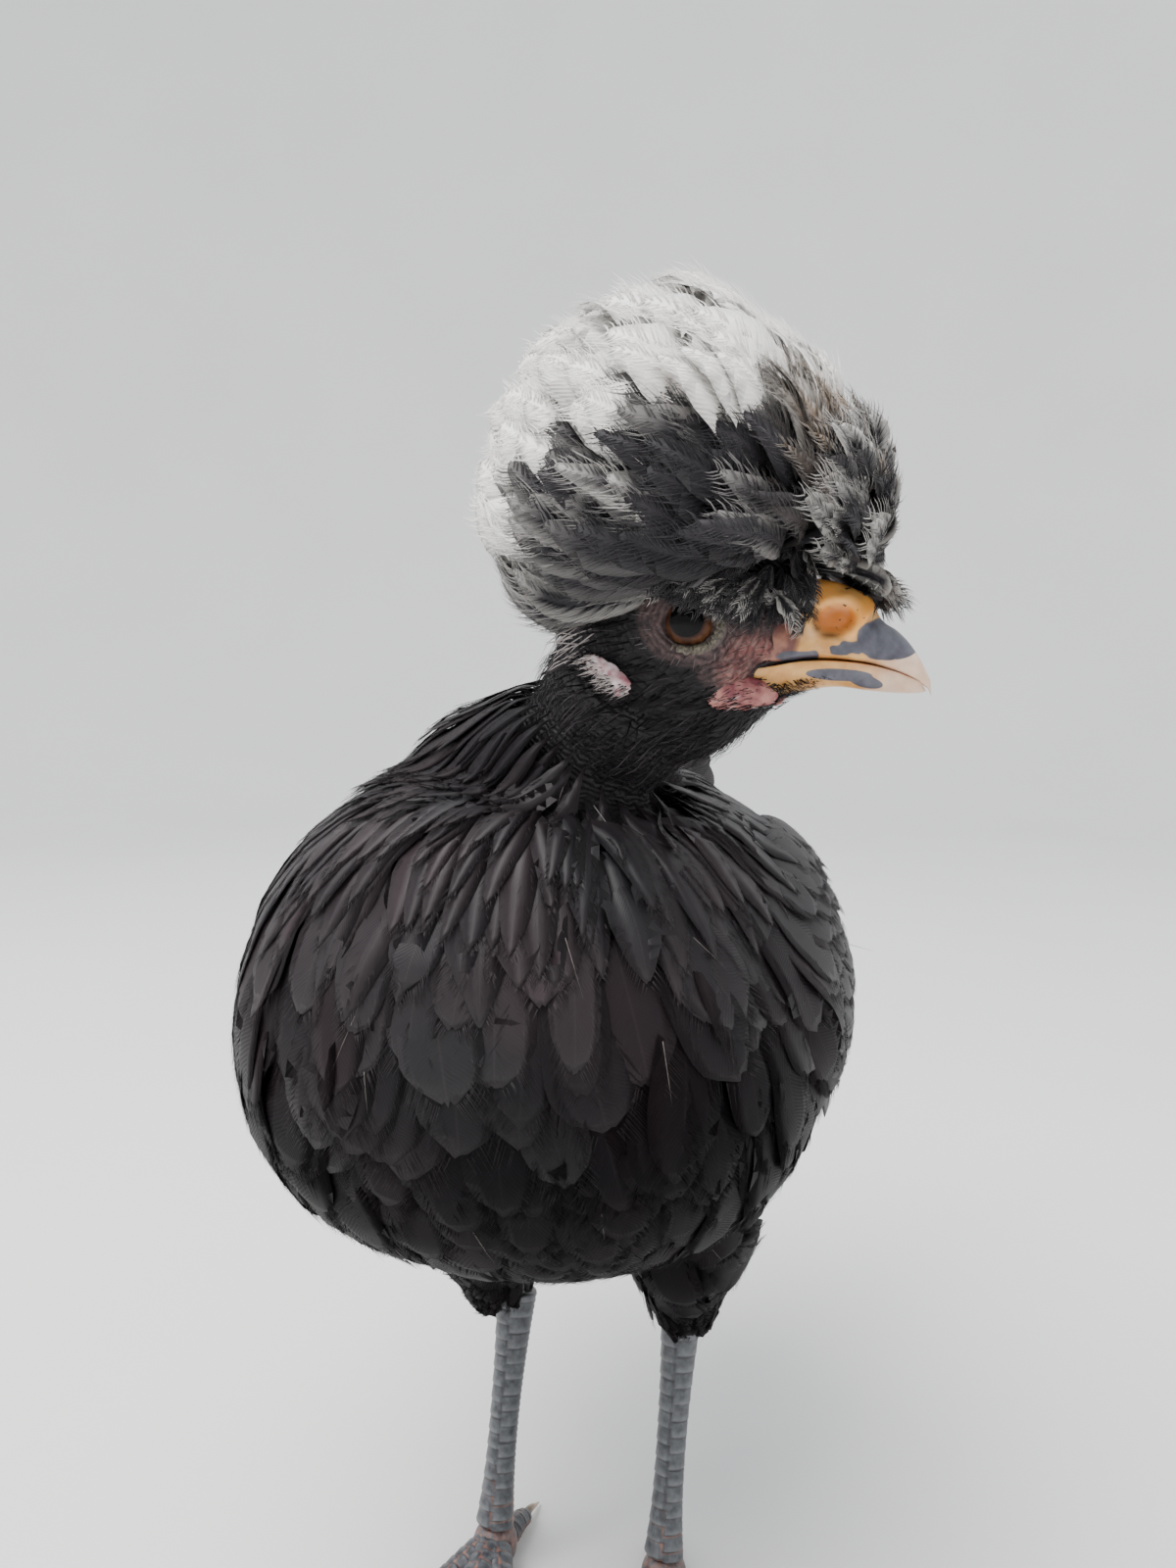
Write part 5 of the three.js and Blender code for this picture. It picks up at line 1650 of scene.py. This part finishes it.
def crest_feather(name, sheen):
    nodes = Nodes(name)
    lines, along_vane, from_shaft = barb_lines(nodes, 30)
    shade, white, fringe, brown = nodes.attributes("shade", "white", "fringe", "brown")
    cream = nodes.grade(along_vane, 0.2, 0.7, (0.88, 0.81, 0.72), (0.97, 0.95, 0.92))
    cream = nodes.blend(nodes.times(shade, 0.2), cream, (0.86, 0.76, 0.68))
    black = nodes.blend(shade, (0.0085, 0.0075, 0.0105), (0.027, 0.0235, 0.028))
    taupe = nodes.grade(from_shaft, 0.02, 0.3, (0.3, 0.21, 0.14), (0.46, 0.4, 0.35))
    black = nodes.blend(brown, black, taupe)
    rim = nodes.math("MAXIMUM", nodes.span(along_vane, 0.78, 1.0), nodes.span(from_shaft, 0.1, 0.42))
    grey_rim = nodes.times(nodes.times(rim, fringe), 0.8)
    black = nodes.blend(grey_rim, black, (0.7, 0.67, 0.63))
    colour = nodes.grade(white, 0.35, 0.65, black, cream)
    nodes.set(Base_Color=colour)
    nodes.set(Roughness=nodes.span(lines, 0, 1, 0.5, 0.66))
    nodes.set(Specular_IOR_Level=0.25, Sheen_Weight=sheen, Sheen_Roughness=0.5)
    nodes.bump(lines, 0.3, 0.0002)
    return nodes.material


def face_skin():
    nodes = Nodes("face_skin")
    bare, flush, off_eye = nodes.attributes("bare", "flush", "off_eye")
    cells = nodes.noise(900, 4)
    broad = nodes.noise(160, 2)
    ripple = nodes.plus(nodes.times(off_eye, 6.5), nodes.times(nodes.noise(420, 3), 15.0))
    crease = nodes.span(nodes.math("SINE", ripple), -1, 1)
    grey = nodes.grade(cells, 0.35, 0.65, (0.018, 0.012, 0.013), (0.1, 0.062, 0.06))
    pink = nodes.grade(broad, 0.35, 0.65, (0.09, 0.03, 0.03), (0.24, 0.085, 0.075))
    pink = nodes.blend(nodes.span(cells, 0.45, 0.62, 0.0, 0.5), pink, (0.33, 0.2, 0.17))
    colour = nodes.grade(flush, 0.3, 1.0, grey, pink)
    # Painted shade: the skin is darkened along the creases round the eye.
    colour = nodes.blend(nodes.span(crease, 0.0, 0.45, 0.55, 0.0), colour, (0.012, 0.008, 0.009))
    colour = nodes.grade(bare, 0.25, 0.8, (0.006, 0.005, 0.006), colour)
    nodes.set(Base_Color=colour, Roughness=0.6, Specular_IOR_Level=0.3)
    nodes.set(Subsurface_Weight=0.1, Subsurface_Radius=(0.6, 0.25, 0.15), Subsurface_Scale=0.002)
    nodes.bump(nodes.plus(cells, crease), 0.55, 0.0004)
    return nodes.material


def bill_horn():
    nodes = Nodes("bill_horn")
    slate, knob, hole, slit, pale, base = nodes.attributes("slate", "knob", "hole", "slit", "pale", "base")
    streaks = nodes.noise(420, 4)
    blotch = nodes.noise(150, 3)
    yellow = nodes.grade(streaks, 0.35, 0.65, (0.56, 0.25, 0.06), (0.72, 0.4, 0.13))
    ivory = nodes.grade(streaks, 0.3, 0.7, (0.66, 0.45, 0.33), (0.78, 0.6, 0.48))
    colour = nodes.blend(nodes.plus(pale, nodes.span(blotch, 0.35, 0.65, -0.2, 0.2)), yellow, ivory)
    orange = nodes.grade(blotch, 0.35, 0.65, (1.0, 0.4, 0.07), (1.0, 0.55, 0.19))
    colour = nodes.grade(knob, 0.2, 0.8, colour, orange)
    # Painted shade: the nostril's hollow is painted a darker red and its slit nearly black.
    colour = nodes.blend(nodes.times(hole, 0.8), colour, (0.6, 0.16, 0.025))
    colour = nodes.blend(nodes.times(slit, 0.85), colour, (0.06, 0.015, 0.006))
    specks = nodes.times(nodes.span(nodes.noise(950, 1), 0.7, 0.74), nodes.span(knob, 0.4, 0.9))
    colour = nodes.blend(specks, colour, (0.05, 0.025, 0.015))
    flesh = nodes.grade(streaks, 0.4, 0.6, (0.15, 0.055, 0.045), (0.36, 0.16, 0.11))
    blurred_base = nodes.plus(base, nodes.span(blotch, 0.3, 0.7, -0.3, 0.3))
    colour = nodes.grade(blurred_base, 0.3, 0.7, colour, flesh)
    dark = nodes.grade(streaks, 0.3, 0.7, (0.045, 0.045, 0.062), (0.12, 0.118, 0.15))
    edge = nodes.span(nodes.plus(slate, nodes.span(blotch, 0.3, 0.7, -0.28, 0.28)), 0.42, 0.56)
    colour = nodes.blend(edge, colour, dark)
    nodes.set(Base_Color=colour, Specular_IOR_Level=0.5)
    nodes.set(Roughness=nodes.span(streaks, 0.3, 0.7, 0.3, 0.42))
    nodes.set(Subsurface_Weight=0.15, Subsurface_Radius=(0.9, 0.45, 0.2), Subsurface_Scale=0.002)
    nodes.bump(streaks, 0.25, 0.0002)
    return nodes.material


def eye_gloss():
    nodes = Nodes("eye_gloss")
    far = nodes.attribute("far")
    rays = nodes.noise(700, 4)
    iris = nodes.grade(rays, 0.35, 0.65, (0.055, 0.022, 0.012), (0.17, 0.075, 0.035))
    iris = nodes.blend(nodes.span(far, EYE["pupil"], EYE["pupil"] + 1.1), (0.03, 0.012, 0.008), iris)
    colour = nodes.grade(far, EYE["pupil"] - 0.12, EYE["pupil"] + 0.12, (0.002, 0.002, 0.002), iris)
    colour = nodes.grade(far, EYE["iris"] - 0.35, EYE["iris"], colour, (0.012, 0.008, 0.007))
    nodes.set(Base_Color=colour, Roughness=0.06, Specular_IOR_Level=0.12)
    nodes.bump(rays, 0.05, 0.0001)
    return nodes.material


def lid_skin():
    nodes = Nodes("lid_skin")
    rim = nodes.attribute("rim")
    grain = nodes.noise(2300, 4)
    band = nodes.grade(grain, 0.4, 0.6, (0.03, 0.025, 0.017), (0.13, 0.11, 0.075))
    colour = nodes.grade(rim, 0.03, 0.2, (0.006, 0.005, 0.005), band)
    colour = nodes.grade(rim, 0.65, 0.95, colour, (0.075, 0.05, 0.048))
    nodes.set(Base_Color=colour, Roughness=0.5)
    nodes.bump(grain, 0.6, 0.0003)
    return nodes.material


def soft_flesh(name, deep, light, edge):
    nodes = Nodes(name)
    along_flap = nodes.attribute("along")
    veins = nodes.noise(380, 4)
    grain = nodes.noise(1500, 3)
    colour = nodes.grade(veins, 0.38, 0.62, deep, light)
    rim = nodes.span(nodes.plus(along_flap, nodes.span(veins, 0.3, 0.7, -0.4, 0.4)), -1.0, -0.4, 0.8, 0.0)
    colour = nodes.blend(rim, colour, edge)
    nodes.set(Base_Color=colour, Roughness=0.5)
    nodes.set(Subsurface_Weight=0.25, Subsurface_Radius=(0.9, 0.35, 0.25), Subsurface_Scale=0.0015)
    nodes.bump(nodes.plus(veins, nodes.times(grain, 0.4)), 0.5, 0.0003)
    return nodes.material


def leg_scale():
    nodes = Nodes("leg_scale")
    scute, low = nodes.attributes("scute", "low")
    grain = nodes.noise(650, 4)
    patch = nodes.noise(120, 2)
    plate = nodes.grade(grain, 0.3, 0.7, (0.028, 0.03, 0.036), (0.1, 0.105, 0.115))
    # Painted highlight: the raised tops of the scutes are painted light grey.
    highlit_plate = nodes.blend(nodes.times(nodes.span(scute, 0.7, 1.0), 0.5), plate, (0.24, 0.25, 0.26))
    rust = nodes.grade(grain, 0.3, 0.7, (0.16, 0.06, 0.045), (0.32, 0.17, 0.13))
    gap = nodes.blend(nodes.times(low, nodes.span(patch, 0.3, 0.6, 0.4, 1.0)), (0.03, 0.03, 0.034), rust)
    nodes.set(Base_Color=nodes.grade(scute, 0.15, 0.45, gap, highlit_plate))
    nodes.set(Roughness=nodes.span(grain, 0.3, 0.7, 0.36, 0.52), Specular_IOR_Level=0.45)
    nodes.bump(grain, 0.35, 0.0003)
    return nodes.material


def claw_horn():
    nodes = Nodes("claw_horn")
    along_claw = nodes.attribute("along")
    streaks = nodes.noise(500, 4)
    base = nodes.grade(streaks, 0.3, 0.7, (0.07, 0.05, 0.04), (0.2, 0.15, 0.11))
    tip = nodes.grade(streaks, 0.3, 0.7, (0.4, 0.29, 0.19), (0.62, 0.5, 0.36))
    nodes.set(Base_Color=nodes.grade(along_claw, 0.1, 0.7, base, tip), Roughness=0.35)
    nodes.bump(streaks, 0.3, 0.0002)
    return nodes.material


def pale_floor():
    nodes = Nodes("pale_floor")
    grain = nodes.noise(4, 4)
    pale = (0.8, 0.8, 0.79)
    darker = tuple(0.96 * part for part in pale)
    nodes.set(Base_Color=nodes.grade(grain, 0.3, 0.7, darker, pale), Roughness=0.9)
    nodes.bump(grain, 0.4, 0.0)
    return nodes.material


# The picture


def make_camera():
    data = bpy.data.cameras.new("camera")
    data.lens = CAMERA_LENS
    data.sensor_fit = "VERTICAL"
    data.sensor_height = SENSOR_LONG_SIDE
    data.clip_start = 0.01
    camera = put_in_scene("camera", data)
    camera.location = (CAMERA_PLACE + SHIFT) * MM
    camera.rotation_euler = (math.pi / 2 - CAMERA_DOWN, 0, CAMERA_AZIMUTH)
    bpy.context.scene.camera = camera


def make_light(name, place, size, power, colour):
    data = bpy.data.lights.new(name, "AREA")
    data.size = size
    data.energy = power
    data.color = colour
    light = put_in_scene(name, data)
    light.location = place
    light.rotation_euler = (Vector(LIGHT_AIM) - Vector(place)).to_track_quat("-Z", "Y").to_euler()


def make_stage():
    """A pale floor that curves up to a plain wall far behind, on all sides."""
    flat, bend, sides = STAGE["flat"], STAGE["bend"], 96
    profile = [(0.3, 0), (0.7, 0), (1.3, 0), (flat, 0)]
    for angle in np.linspace(0, math.pi / 2, 14)[1:]:
        profile.append((flat + bend * math.sin(angle), bend * (1 - math.cos(angle))))
    profile.append((flat + bend, STAGE["wall"]))
    points = [(r * math.cos(a), r * math.sin(a), z) for r, z in profile for a in turns(sides)] + [(0, 0, 0)]
    around = [(i, (i + 1) % sides) for i in range(sides)]
    faces = []
    for low in range(0, (len(profile) - 1) * sides, sides):
        faces += [(low + i, low + j, low + sides + j, low + sides + i) for i, j in around]
    faces += [(len(points) - 1, j, i) for i, j in around]
    mesh = bpy.data.meshes.new("floor")
    mesh.from_pydata(points, [], faces)
    for face in mesh.polygons:
        face.use_smooth = True
    mesh.materials.append(pale_floor())
    put_in_scene("floor", mesh)
    world = bpy.data.worlds.new("sky")
    world.use_nodes = True
    background = world.node_tree.nodes["Background"]
    background.inputs["Color"].default_value = SKY["colour"]
    background.inputs["Strength"].default_value = SKY["strength"]
    bpy.context.scene.world = world
    for light in LIGHTS:
        make_light(*light)


black, dull_black = black_feather("black_feather", 0.28), black_feather("dull_feather", 0.13)
coat_looks = {"bright": black, "middle": dull_black, "low": black_feather("belly_feather", 0.045)}
black_crest = crest_feather("black_crest_feather", 0.05)
skin_points, skin_quads = make_skin(face_skin())
skin_tree = BVHTree.FromPolygons([tuple(p) for p in skin_points], skin_quads.tolist())
make_body_coat(skin_tree, skin_points, skin_quads, coat_looks)
make_face_hairs(skin_points, skin_quads, skin_tree, face_hair())
make_stray_shafts(skin_points, skin_quads, skin_tree, stray_shaft())
make_crest(crest_feather("white_crest_feather", 0.3), black_crest)
make_forelock(black_crest)
make_eye_fringe(black_crest)
make_brow(skin_tree, skin_points, skin_quads, black_crest)
horn, gloss, lid, scale, claw = bill_horn(), eye_gloss(), lid_skin(), leg_scale(), claw_horn()
lobe = soft_flesh("lobe_skin", (0.26, 0.1, 0.12), (0.66, 0.56, 0.56), (0.3, 0.04, 0.07))
wattle = soft_flesh("wattle_skin", (0.17, 0.035, 0.045), (0.42, 0.175, 0.15), (0.24, 0.02, 0.045))
bill_half("upper", BILL["shift"], horn)
bill_half("lower", -BILL["shift"], horn)
for name, side in (("left", 1), ("right", -1)):
    make_eye(name, side, gloss)
    make_lid(name, side, lid)
    make_flap("ear_flap", EARLOBE, side, name, lobe, "lobe_skin", "earlobe")
    make_flap("chin_flap", WATTLE, side, name, wattle, "wattle_skin", "wattle")
    make_shank(name, side, scale)
    make_foot(name, side, scale, claw)
    make_wing(name, side, dull_black)
make_tail(dull_black)
make_camera()
make_stage()
